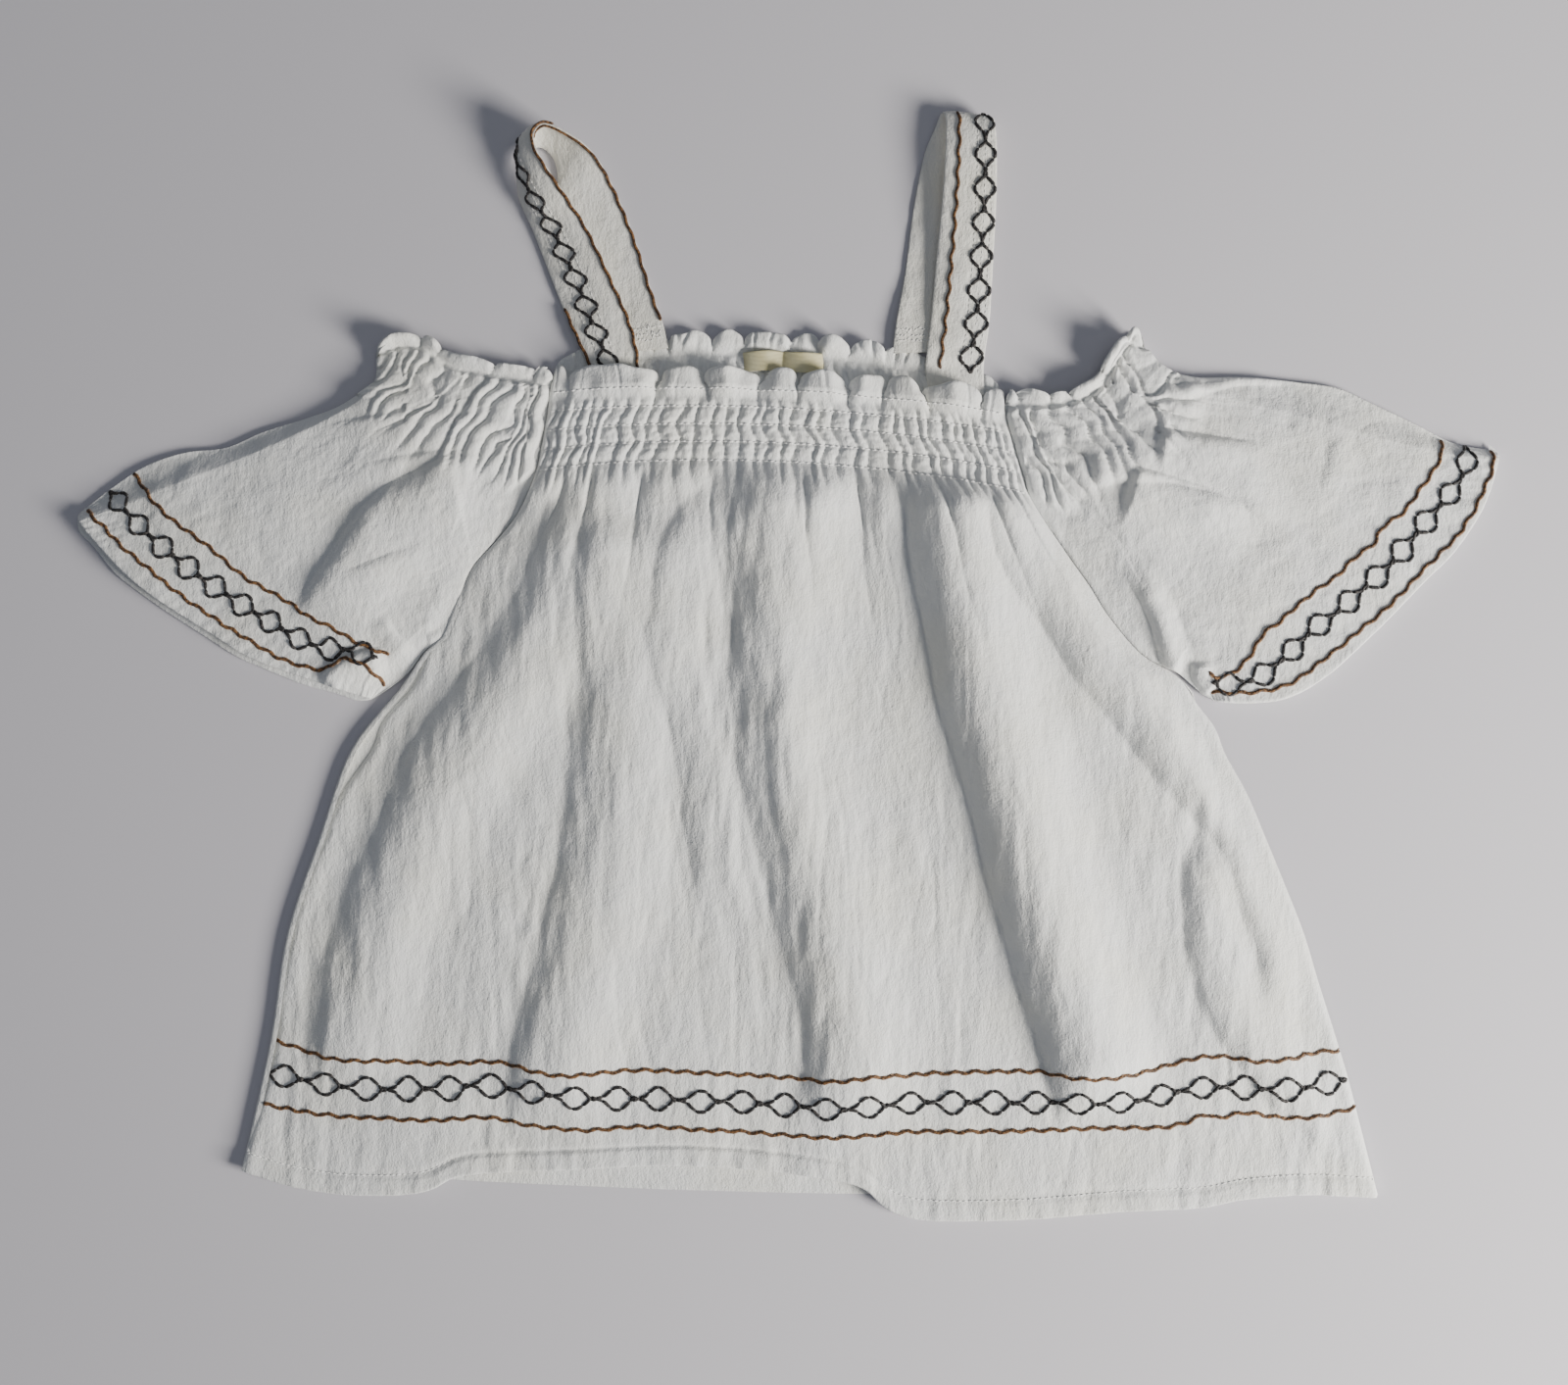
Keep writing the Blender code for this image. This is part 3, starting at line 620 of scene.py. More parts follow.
def makeFront():
    table = seamRows + frontRows
    u, level = panelNet(front, table)
    x, y = panelPlan(u, level, table, 4, 0.8)
    u, level = np.broadcast_arrays(u, level)
    # the last stretch runs from the lowest row to the hem
    hemX = mix(frontHem[0][0], frontHem[-1][0], u[:1])
    hemLine = smoothRun(frontHem, 6)
    hemY = np.interp(hemX, hemLine[:, 0], hemLine[:, 1])
    steps = np.linspace(0, 1, front["hemRows"] + 1)[1:, None]
    x = np.vstack([x, mix(x[-1:], hemX, steps)])
    y = np.vstack([y, mix(y[-1:], hemY, steps)])
    level = np.vstack([level, len(table) - 1 + steps * np.ones_like(hemX)])
    u = np.vstack([u, np.repeat(u[:1], len(steps), 0)])
    along = mix(neckFrom, neckTo, u)
    z = frontHeight(x, y, u, level, along)
    gathers = bandRelief(along, level, frontCells, front["gatherDepth"], 1.3, 0.35)
    z += gathers * ease(np.minimum(u, 1 - u) / 0.012)
    # header: lobes that open above the first elastic row and roll over at the top
    lean = 2.6 * softNoise(x / 15, 8.1) * (elasticFirst - level)
    square = mix(0.5, 0.22, np.clip(level / 3, 0, 1))
    lobes, share = lobeShape(x + softNoise(x / 9, y / 5) + lean, front["lobeEdges"], front["lobeTall"],
                             square)
    free = ease((elasticFirst + 1.25 - level) / 1.7)
    lobes = lobes * (1 + 0.7 * (share - 0.5) * softNoise(x / 40, 2.2))
    dent = 1.3 * softNoise(x / 7.0, y / 14 + 4) + 0.6 * creases(x, y, roughNoise, 9.0, 26.0, 0.10)
    z += free * (1.15 * lobes - 1.4 + dent)
    top = ease((1.2 - level) / 1.2)
    y += top * (7.5 * np.sin(np.pi * share) ** 0.3 - 5.6 + 1.5 * softNoise(x / 11, 3.3))
    x += top * 0.9 * softNoise(x / 8, 7.7)
    # hem: a sewn line pulls the turned edge in, and it flutes a little
    fromHem, low = y - hemY, level > 20
    z -= 0.7 * np.exp(-((fromHem - front["hemSewn"]) / 0.9) ** 2) * low
    z += 0.45 * ease((7.2 - fromHem) / 1.2) * low
    z += 0.35 * np.exp(-(fromHem / 9) ** 2) * softNoise(x / 5.2, 1.5) * low
    # raglan and side seams: both edges dive, and below the underarm the wearer's left edge rolls down
    z -= front["seamDive"] * np.exp(-np.minimum(x - x[:, :1], x[:, -1:] - x) / 1.1)
    rollDown = np.sqrt(1 - (1 - np.clip((x[:, -1:] - x) / front["rollDown"], 0, 1)) ** 2)
    below = level - underarmRow - 0.5
    z = np.where(below > 0, mix(np.minimum(z, 0.5), z, mix(1, rollDown, ease(below))), z)
    main = np.stack([x, y, z], -1)
    # header folded to the back
    r, turns = front["rollRadius"], np.linspace(0, np.pi, 7)[1:]
    rolled = [moved(main[0], 0, r * np.sin(a), -r * (1 - np.cos(a))) for a in turns]
    behind = [moved(rolled[-1], 0, -d, -0.1) for d in (2.5, 5.5)]
    # hem turned under, deeper where it has folded away
    r = front["hemRadius"]
    turned = [moved(main[-1], 0, -r * np.sin(a), -r * (1 - np.cos(a))) for a in turns]
    tuck = ease((hemX[0] - tuckFrom + 8) / 12) * ease((tuckTo + 4 - hemX[0]) / 12)
    depth = mix(front["hemTurn"], front["hemTuck"], tuck)
    slant = mix(0.3, -0.25, u[0])
    under = [moved(turned[-1], slant * depth * d, depth * d, -0.1 * d) for d in (0.4, 1.0)]
    grid = np.stack(behind[::-1] + rolled[::-1] + list(main) + turned + under)
    return makeGrid("frontPanel", grid, "creamCotton", flip=True)


frontPanel = makeFront()
print("front panel made:", len(frontPanel.data.polygons), "faces")


# back panel
back = {
    "columns": 320, "headerRows": 12, "bandRows": 34, "rowStep": 4.5, "gatherPitch": 4.6,
    "gatherDepth": 1.4, "pulledIn": 5.0, "rollRadius": 1.0, "curlRadius": 1.15, "curlRow": 56,
    "lobeEdges": [-98, -78, -48.8, -31.6, -18, 0.8, 12.4, 24.4, 39.2, 56, 72, 90],
    "lobeTall": [1, 1.6, 4, 3, 4.8, 1.8, 5, 3.8, 1.4, 1, 1],
}
# the back's side edges below the underarm, in the same columns
backRows = [
    (-157, -9, 168, -15, 1, 1), (-177, -34, 180, -36, 0, 0), (-190, -70, 196, -70, 0, 0),
    (-203, -109, 211.6, -109, 0, 0), (-209.4, -150, 224, -150, 3, 3),
    (-217.6, -188, 234.4, -189, 4, 4), (-221, -202, 239, -211, 7, 7),
]


def makeBack():
    table = seamRows + backRows
    u, level = panelNet(back, table)
    x, y = panelPlan(u, level, table, 5, np.where(level < bandFoot, 0.5, 0.8))
    u, level = np.broadcast_arrays(u, level)
    along = mix(neckFrom, neckTo, u)
    below = ease(level - underarmRow - 0.5)
    x = x - back["pulledIn"] * ease((u - 0.85) / 0.15) * below       # the front rolls down on this side
    edge = np.minimum(u, 1 - u)
    cells = makeCells(-110, 110, back["gatherPitch"], 0.32, 8)
    z = backMid + bandRelief(along, level, cells, back["gatherDepth"], 1.2, -0.6) * ease(edge / 0.02)
    lobes, share = lobeShape(x + 1.6 * softNoise(x / 6, y / 4), back["lobeEdges"], back["lobeTall"], 0.3)
    free = ease((elasticFirst - 0.4 - level) / 1.1) * ease(edge / 0.02)
    folded = softNoise(x / 5.5, y / 9) + 1.2 * creases(x, y, roughNoise, 7.0, 22.0, 0.12)
    z = z + free * (1.1 * lobes + folded)
    top = ease((1.4 - level) / 1.4)
    y = y + top * (4.4 * np.sin(np.pi * share) ** 0.32 - 2.8 + 1.4 * softNoise(x / 7, 1.3))
    z = np.maximum(z + 0.25 * softNoise(x / 12, y / 25) * ease(edge / 0.05), 0.35)
    main = np.stack([x, y, z], -1)
    r = back["rollRadius"]
    turns = np.linspace(0, np.pi, 6)[1:]
    rolled = [moved(main[0], 0, r * np.sin(a), 0.5 * r * (np.cos(a) - 1)) for a in turns]
    # the lower hem, turned up inside, shows where the front's has folded away
    hemStep = moved(main[-1], 0, -1.2, -0.2)
    grid = np.stack(rolled[::-1] + list(main) + [hemStep])
    # the wearer's right side rolls over towards the front, the left one only a little
    r = back["curlRadius"]
    curl = [(r * np.sin(a), r * (1 - np.cos(a))) for a in np.linspace(0, np.pi, 7)[1:]] + [(-1.6, 2.35)]
    low = ease((np.arange(len(grid)) - back["curlRow"]) / 6)
    right = [moved(grid[:, 0], -dx * low, 0, dz * low) for dx, dz in curl]
    left = [moved(grid[:, -1], 0.3 * dx * low, 0, 0.1 * dz * low) for dx, dz in curl]
    grid = np.concatenate([np.stack(right[::-1], 1), grid, np.stack(left, 1)], 1)
    return makeGrid("backPanel", grid, "creamCotton", flip=True)


backPanel = makeBack()
print("back panel made:", len(backPanel.data.polygons), "faces")


# sleeves
sleeve = {
    "rows": 150, "columns": 300, "underRows": 50, "underColumns": 110, "rings": 9, "settle": 400,
    "puff": 2.8, "smockWidth": 76.0, "gatherPitch": 5.3, "gatherDepth": 2.8, "headerPart": 0.2, "bare": 0.3,
    "seamSide": 0.12, "seamDive": 0.9, "edgeRound": 2.2, "cuffRadius": 0.75,
    "lip": [(0.4, 0.15), (0.55, 0.45), (0.3, 0.8), (-0.6, 0.9), (-4.0, 0.8)],
}
# for each sleeve: its outline in four lines, the foot of its smocking, its header's lobes and its folds
sleeveRight = {
    "name": "sleeveRight", "side": -1, "seed": 15, "slant": 17, "cuffStep": 3.4,
    "neck": [(-102, 120), (-112, 120.5), (-124, 123), (-136, 125), (-146, 131.5), (-158, 132.5),
             (-168, 128)],
    "underarm": [(-148.2, 6.8), (-155.4, -3), (-163.6, -9.4), (-169, -12.8)],
    "topFold": [(-168, 128), (-171, 118), (-169, 108), (-183, 106), (-196, 101), (-215, 95),
                (-226, 89.6), (-243, 87.6), (-256, 84), (-267, 79), (-277, 71.5), (-289, 62)],
    "cuff": [(-169, -12.8), (-178, -10), (-190, -6), (-202, -2), (-218, 4), (-234, 14),
             (-250, 24), (-266, 36), (-282, 52.8), (-289, 62)],
    "foot": [(-103.2, 78.8), (-116, 81.5), (-122, 85), (-131, 87.2), (-140, 88.5), (-154, 96),
             (-159, 104), (-169, 108)],
    "lobes": [0, 0.10, 0.32, 0.62, 0.74, 1], "tall": [3.4, 3, 4.6, 5.2, 8],
    "folds": [
        {"line": [(-122, 86), (-130, 85.5), (-138, 84.5), (-150, 80), (-162, 73), (-174, 63), (-184, 50),
                  (-191, 38), (-197, 29), (-204, 20)], "face": 9, "back": 34, "height": 4.4, "crinkle": 1,
         "tail": 22},
        {"line": [(-154, 103), (-170, 101), (-182, 99), (-194, 95)], "face": 3, "back": 14, "height": 1.5},
        {"line": [(-126, 87), (-146, 86.5), (-162, 84), (-178, 80)], "face": 3, "back": 9, "height": 1.2},
        {"line": [(-144, 54), (-154, 48), (-164, 44), (-176, 40), (-188, 34)], "face": 4, "back": 14,
         "height": 1.1, "crinkle": 1.2},
        {"line": [(-163, 22), (-158, 13), (-150, 7)], "face": 3, "back": 8, "height": 1.3, "side": 1,
         "lead": 6, "tail": 6},
        {"line": [(-148, 14), (-146, 8)], "face": 2, "back": 6, "height": 0.9, "lead": 3, "tail": 3},
        {"line": [(-244, 86), (-248, 76), (-250, 66)], "face": 4, "back": 12, "height": 0.9, "lead": 6,
         "tail": 8},
        {"line": [(-262, 74), (-258, 64), (-262, 54)], "face": 4, "back": 12, "height": 0.7, "lead": 6,
         "tail": 8},
        {"line": [(-192, -5), (-184, 2), (-174, 6.5), (-163, 8)], "face": 4.5, "back": 12, "height": 3.2,
         "side": 1, "lead": 5, "tail": 6},
    ],
}
sleeveLeft = {
    "name": "sleeveLeft", "side": 1, "seed": 19, "slant": 4, "cuffStep": 0.9,
    "neck": [(94, 111), (104, 109.6), (114, 110.6), (124, 116), (131, 127), (139, 135),
             (144, 131)],
    "underarm": [(159.2, -3.2), (163.4, -7), (168, -11), (172.6, -13.6)],
    "topFold": [(144, 131), (150, 122), (158, 114.6), (168, 117.4), (192, 117.4), (214, 114.4),
                (230, 111.6), (242, 104.4), (256, 98), (265, 92), (276, 90), (288, 87.6)],
    "cuff": [(172.6, -13.6), (186, -14), (200, -12.6), (214, -6), (226, 4), (241, 18),
             (254, 32), (268, 46), (281, 66), (288, 87.6)],
    "foot": [(98, 69.2), (110, 70.5), (118, 77), (134, 82), (143, 87), (148, 93), (155, 98),
             (158.5, 107), (158, 114.6)],
    "lobes": [0, 0.09, 0.27, 0.4, 0.62, 0.86, 1], "tall": [3, 4.8, 3.4, 5.5, 9, 7.5],
    "folds": [
        {"line": [(204, 114), (184, 114), (170, 110.5), (158, 108)], "face": 3, "back": 9, "height": 1.3,
         "side": 1, "lead": 10, "tail": 6},
        {"line": [(196, 90), (174, 92.6), (158, 94.8), (148, 96)], "face": 4.5, "back": 16, "height": 4,
         "tail": 4, "lead": 30},
        {"line": [(196, 62), (176, 70), (156, 76), (138, 81)], "face": 7, "back": 22, "height": 4.6,
         "tail": 4, "lead": 30},
        {"line": [(120, 72), (134, 73), (146, 74), (162, 72), (178, 68), (190, 60), (204, 52)], "face": 5,
         "back": 18, "height": 2.6, "crinkle": 1.4, "lead": 6, "tail": 26},
        {"line": [(219, 94), (217, 82), (213, 70)], "face": 4, "back": 10, "height": 0.9, "lead": 8,
         "tail": 8},
        {"line": [(212, 46.5), (218, 48.5)], "face": 2, "back": 4, "height": 0.6, "lead": 2, "tail": 2},
        {"line": [(134, 38), (141, 28), (146, 16), (149, 6), (153, -2), (160, -5)], "face": 4.5, "back": 9,
         "height": 3.4, "lead": 16, "tail": 6, "crinkle": 0.5},
        {"line": [(116, 66), (128, 56), (138, 48), (150, 40), (160, 36)], "face": 6, "back": 18,
         "height": 1.2, "crinkle": 1.6},
        {"line": [(176, 24), (190, 18), (206, 12)], "face": 4, "back": 14, "height": 0.9, "crinkle": 1.2},
        {"line": [(163, 2), (164, -6), (170, -13)], "face": 3, "back": 8, "height": 2.2, "lead": 3,
         "tail": 3},
    ],
}


def refine(coarse, rows, columns):
    # smooth places between those of a coarse grid
    count, width = coarse.shape[:2]
    tall = readRows(coarse.reshape(count, -1), rows).reshape(len(rows), width, -1)
    turned = tall.transpose(1, 0, 2).reshape(width, -1)
    wide = readRows(turned, columns).reshape(len(columns), len(rows), -1)
    return wide.transpose(1, 0, 2)


def sleevePlan(own):
    # a net between the seam with the neck, the underarm, the top fold and the cuff
    at = 0 if own["side"] < 0 else 2
    seam = [(row[at] + own["side"] * sleeve["seamSide"], row[at + 1]) for row in reversed(seamRows)]
    start = np.array([own["underarm"][0]] + seam[1:] + own["neck"])
    half, rings = len(start) - 1, sleeve["rings"]
    spread = 0.5 - 0.5 * np.cos(np.pi * np.arange(half + 1) / half)
    end = Run(own["cuff"]).read(spread)
    part = np.linspace(0, 1, rings + 1)
    plan = mix(start[None], end[None], part[:, None, None])
    plan[:, 0], plan[:, -1] = Run(own["underarm"]).read(part), Run(own["topFold"]).read(part)
    for step in range(sleeve["settle"]):
        plan[1:-1, 1:-1] = (plan[:-2, 1:-1] + plan[2:, 1:-1] + plan[1:-1, :-2] + plan[1:-1, 2:]) / 4
    return plan, half


def smockLevels(own, x, y):
    # how far across the smocked band each place lies, how far along it, and how far below its foot
    side, headerPart = own["side"], sleeve["headerPart"]
    seamTop = seamRows[0]
    first = (seamTop[0], seamTop[1]) if side < 0 else (seamTop[2], seamTop[3])
    neckGap, neckShare = besideLine(x, y, np.vstack([[first], smoothRun(own["neck"], 6)]))[:2]
    footGap, footShare = besideLine(x, y, smoothRun(own["foot"], 6))[:2]
    footGap = footGap * side          # positive on the cuff's side
    neckGap = np.abs(neckGap)
    deep = neckGap / np.maximum(neckGap + np.maximum(-footGap, 0), 1e-6)
    inBand = elasticFirst + (deep - headerPart) / (1 - headerPart) * (bandFoot - elasticFirst)
    level = np.where(deep < headerPart, deep / headerPart * elasticFirst, inBand)
    level = np.where(footGap > 0, bandFoot + footGap / 15, level)
    deep = np.clip(deep, 0, 1)
    along = mix(neckShare, footShare, deep) * sleeve["smockWidth"]
    return level, along + own["slant"] * (1 - deep) * ease(along / 18), neckShare, footGap


def outward(edge, inner):
    # level unit directions from an inner line to an edge
    away = edge - inner
    away[:, 2] = 0
    return unit(away, 1e-6)


def closing(edge, inner):
    # rows that bring a folded edge down onto the underside
    away = outward(edge, inner)
    steps = []
    for a in np.linspace(0.5 * np.pi, np.pi, 5)[1:]:
        height = mix(edge[:, 2], backMid - 0.15, -np.cos(a))
        steps.append(np.column_stack([edge[:, :2] + away[:, :2] * 0.7 * (np.sin(a) - 1), height]))
    return steps


def makeSleeve(own):
    plan, half = sleevePlan(own)
    side, rings = own["side"], sleeve["rings"]
    rows = rings * np.linspace(0, 1, sleeve["rows"]) ** 1.25
    bare = int(sleeve["columns"] * sleeve["bare"])
    smockedColumns = np.linspace(6, half, sleeve["columns"] - bare + 1)[1:]
    columns = np.concatenate([np.linspace(0, 6, bare), smockedColumns])
    place = refine(plan, rows, columns)
    x, y = place[..., 0], place[..., 1]
    # shares round the sleeve, from the underarm past the seam and neck to the top fold, and down it
    share = (columns / half)[None, :]
    v = (rows / rings)[:, None]
    noise, ripple, fine = (makeNoise(own["seed"] + k) for k in range(3))
    level, along, neckShare, footGap = smockLevels(own, x, y)
    cells = makeCells(-6, 120, sleeve["gatherPitch"], 0.3, own["seed"])

    # the top side: lifted off the underside between its edges
    angle = np.pi * share
    rise = ease(np.abs(np.sin(angle)) / 0.42)
    toEdge = np.minimum(np.hypot(x - x[:, :1], y - y[:, :1]), np.hypot(x - x[:, -1:], y - y[:, -1:]))
    rounded = np.sqrt(1 - (1 - np.clip(toEdge / sleeve["edgeRound"], 0, 1)) ** 2)
    middle = (backMid + raglanMid) / 2
    seamMid = mix(raglanMid, onStrap, ease((share - 0.5) / 0.2))
    puff = sleeve["puff"] * np.sin(np.clip(angle, 0, np.pi)) ** 0.6
    z = middle + (seamMid + puff * ease(v / 0.3) - middle) * np.minimum(rise * 1.15, 1) * rounded
    z = z + foldHeight(x, y, own["folds"], noise) * ease(v / 0.04) * rounded
    below = np.maximum(footGap, 0)
    drift = along + 2.5 * noise(along / 18, below / 26)
    gather = np.exp(-below / 15) * ridge(drift, cells) * ease((share - 0.3) / 0.08)
    wide = 0.8 * np.exp(-((below - 22) / 26) ** 2) * ripple(drift / 8, below / 60)
    soft = 0.5 * noise(x / 24, y / 24) + 0.28 * ripple(x / 9, y / 9) + 0.13 * fine(x / 3, y / 3)
    soft += 0.24 * creases(x - side * y, y + side * x, fine, 26.0, 60.0, 0.09)
    soft += 0.12 * creases(x + side * y, y - side * x, ripple, 20.0, 34.0, 0.09)
    onBody = ease((level - bandFoot - 0.1) / 0.7)
    z = z + onBody * rounded * ease(v / 0.03) * (gather + wide + soft)
    smocked = bandRelief(along, level, cells, sleeve["gatherDepth"], 1.2, -1.0, 0.3)
    z = z + smocked * rounded * ease((share - 0.31) / 0.02) * ease(v / 0.02 + 0.35)

    # header lobes round the neck
    lobes, lobeShare = lobeShape(neckShare + 0.02 * noise(x / 7, y / 7), own["lobes"], own["tall"], 0.3)
    free = ease((1.5 - level) / 1.3) * (share > 0.6)
    z = z + free * rounded * (lobes - 0.8 + 0.9 * ripple(x / 5.5, y / 6) + 0.4 * fine(x / 2.2, y / 3))
    rimLine = ease((1.2 - level) / 1.2) * (share > 0.62) * ease((1 - share) / 0.05) * rounded
    y = y + rimLine * (3.0 * np.sin(np.pi * lobeShare) ** 0.3 - 1.8)
    x = x + rimLine * 0.9 * ripple(y / 6, x / 6)

    # the seam with the front dives, and the cuff flutes a little between its sewn lines
    z = z - sleeve["seamDive"] * np.exp(-v * 60.0) * (share < 0.68)
    toCuff = np.hypot(x - x[-1:], y - y[-1:])
    z = z + 0.35 * np.exp(-(toCuff / 12) ** 2) * ripple(share * 60, toCuff / 9) * rounded
    top = np.stack([x, y, z], -1)

    # turned edge at the cuff, and the rolled rim at the neck
    out, inward, up = outward(top[-1], top[-6]), outward(top[0], top[3]), np.array([0, 0, 1.0])
    turns = np.linspace(0, np.pi, 6)[1:]
    r = sleeve["cuffRadius"] * rounded[-1][:, None]
    turned = [top[-1] + r * (np.sin(a) * out - (1 - np.cos(a)) * up) for a in turns]
    turned += [turned[-1] - out * d for d in (2.5, 6.0)]
    header = (share[0] > 0.66)[:, None] * rounded[0][:, None]
    rim = []
    for a in turns:
        drop = (1 - np.cos(a)) * up
        rim.append(top[0] + header * (np.sin(a) * inward - 0.9 * drop) - (1 - header) * 0.5 * drop)
    rim.append(rim[-1] - header * inward * 3.0)
    top = np.stack(rim[::-1] + list(top) + turned)
    lower = closing(top[:, 0], top[:, 3])
    upper = closing(top[:, -1], top[:, -4])
    top = np.concatenate([np.stack(lower[::-1], 1), top, np.stack(upper, 1)], 1)

    # the underside, which shows past the cuff
    picks = np.linspace(0, sleeve["rows"] - 1, sleeve["underRows"]).astype(int)
    across = np.linspace(0, sleeve["columns"] - 1, sleeve["underColumns"]).astype(int)
    under = np.stack([x, y, 0 * x + backMid], -1)[np.ix_(picks, across)]
    reach = own["cuffStep"] * ease((v[picks] - 0.6) / 0.4) * rise[:, across]
    reach = reach * (1 + 0.35 * noise(share[:, across] * 9, 2.2))
    under[..., 0] += side * 0.7 * reach
    under[..., 1] -= 0.7 * reach
    under[..., 2] += 0.25 * ripple(under[..., 0] / 9, under[..., 1] / 9)
    lip = [under[-1] + np.array([side * 0.7 * d, -0.7 * d, h]) for d, h in sleeve["lip"]]
    under = np.stack(list(under) + lip)
    under[..., 2] = np.maximum(under[..., 2], 0.3)
    return makeGrids(own["name"], [top, under], "creamCotton", side > 0)


sleeves = {"right": makeSleeve(sleeveRight), "left": makeSleeve(sleeveLeft)}
print("sleeves made:", [len(piece.data.polygons) for piece in sleeves.values()], "faces")


# straps: sections from the front band to the back band: outer edge, middle, inner edge, each x y z
strapRight = {
    "name": "strapRight", "along": 190, "wall": 0.5,
    "sections": [
        (-77, 110.4, 2.1, -67, 110.5, 2.1, -56.8, 110.8, 2.1),
        (-80.8, 120, 2.1, -70.6, 120, 2.1, -60.4, 120, 2.1),
        (-84, 127.4, 2.6, -72.8, 127.4, 3.8, -61, 127.4, 3.8),
        (-89.2, 138.6, 2, -77.4, 138.6, 3.7, -63.6, 138.6, 4),
        (-94.8, 152, 1.1, -82.4, 152.4, 3.4, -69.2, 151.6, 4.6),
        (-104, 176, 1, -93, 176, 4.4, -80.8, 176, 6.4),
        (-110.4, 192, 1, -101.4, 189, 7.4, -90, 190, 9.6),
        (-110, 206, 1, -108.6, 204, 7.6, -98.6, 203, 13),
        (-104, 211, 1, -108.6, 212, 7.4, -101.6, 211, 14.2),
        (-99, 210, 1, -102, 217, 7, -97.6, 216, 14.2),
        (-95, 204, 1, -92, 212.6, 6, -88, 212.8, 12),
        (-94, 193, 0.8, -86, 203, 4.2, -78.4, 206.4, 8),
        (-92, 182, 0.6, -82, 188, 1.2, -70.6, 194, 2.6),
        (-85, 164, 0.6, -74, 169, 0.6, -62.4, 174, 0.6),
        (-79, 146, 0.9, -68, 150, 0.9, -56, 154, 0.9),
        (-74, 134, 2.1, -62.6, 136.4, 2.1, -50.8, 138.8, 2.1),
        (-72.4, 127, 2.1, -60.8, 128.2, 2.1, -48.8, 129.4, 2.1),
    ],
    "chainAt": 0.42, "chainHalf": 0.175, "chainTo": 0.515, "chainFrom": 0.040, "diamonds": 9,
    "tackAt": [0.962, 0.972, 0.98],
    "brown": [(0.965, 0.05, 0.56, 0.3), (0.965, 0.50, 0.955, -0.3), (0.05, 0.05, 0.17, 0.3)],
    "sewn": [0.27, 0.57],
}
strapLeft = {
    "name": "strapLeft", "along": 190, "wall": 0.5,
    "sections": [
        (56.8, 110.6, 2.1, 68, 110.4, 2.1, 79.6, 110.2, 2.1),
        (55.2, 120, 2.1, 67.4, 120, 2.1, 79.4, 120, 2.1),
        (55.6, 127.4, 3.8, 67.8, 127.4, 3.8, 80, 127.4, 2.8),
        (57.2, 141, 3.9, 69.6, 141, 4.2, 81.8, 141, 3),
        (59.4, 164, 4.4, 71.6, 164, 5.2, 83, 164, 4.2),
        (61.6, 188, 6.4, 73, 188, 7, 84, 188, 6.4),
        (62.8, 208, 7.6, 73.6, 208, 8.2, 84, 208, 8),
        (63, 220, 7, 73.6, 219.4, 7.4, 83.4, 218, 7.2),
        (61.6, 224.2, 4.4, 73, 223.6, 4.4, 83.2, 221.6, 4.4),
        (58.6, 217.6, 1.3, 71, 219.2, 1.4, 82, 217.6, 1.4),
        (54.8, 208, 0.6, 67.4, 209.4, 0.6, 80, 209, 0.6),
        (50.4, 186, 0.6, 63, 187.6, 0.6, 75.6, 188, 0.6),
        (47, 160, 0.8, 59.4, 161.6, 0.8, 71.8, 162, 0.8),
        (43, 138, 2.1, 55.2, 138.6, 2.1, 67.4, 139, 2.1),
        (42, 127.2, 2.1, 54, 127.6, 2.1, 65.8, 128, 2.1),
    ],
    "chainAt": 0.765, "chainHalf": 0.185, "chainTo": 0.543, "chainFrom": 0.040, "diamonds": 8,
    "tackAt": [0.955, 0.966, 0.976],
    "brown": [(0.26, 0.05, 0.53, 0.3)], "sewn": [0.62, 0.90],
}


def strapSurface(own, across, along):
    # middle of the ribbon at shares across and along it, with its normals
    def at(t, s):
        rows = readRows(np.array(own["sections"]), np.clip(s, 0, 1) * (len(own["sections"]) - 1))
        outer, mid, inner = rows[..., 0:3], rows[..., 3:6], rows[..., 6:9]
        t = t[..., None]
        p = outer * (1 - t) * (1 - 2 * t) + mid * 4 * t * (1 - t) + inner * t * (2 * t - 1)
        onPanel = (p[..., 1] < 137) | (s < 0.2)
        p[..., 2] = np.maximum(p[..., 2], np.where(onPanel, onBack, backMid + 0.05))
        p[..., 2] += 0.22 * softNoise(p[..., 0] / 9, p[..., 1] / 14)
        return p

    across, along = np.broadcast_arrays(np.asarray(across, float), np.asarray(along, float))
    p = at(across, along)
    dt = at(across + 0.02, along) - at(across - 0.02, along)
    ds = at(across, along + 0.004) - at(across, along - 0.004)
    return p, unit(np.cross(dt, ds))


def strapShares(own):
    # shares along the ribbon that lie an even distance apart
    fine = np.linspace(0, 1, 600)
    run = lengths(strapSurface(own, 0.5, fine)[0])
    return lambda share: np.interp(np.asarray(share) * run[-1], run, fine), run[-1]


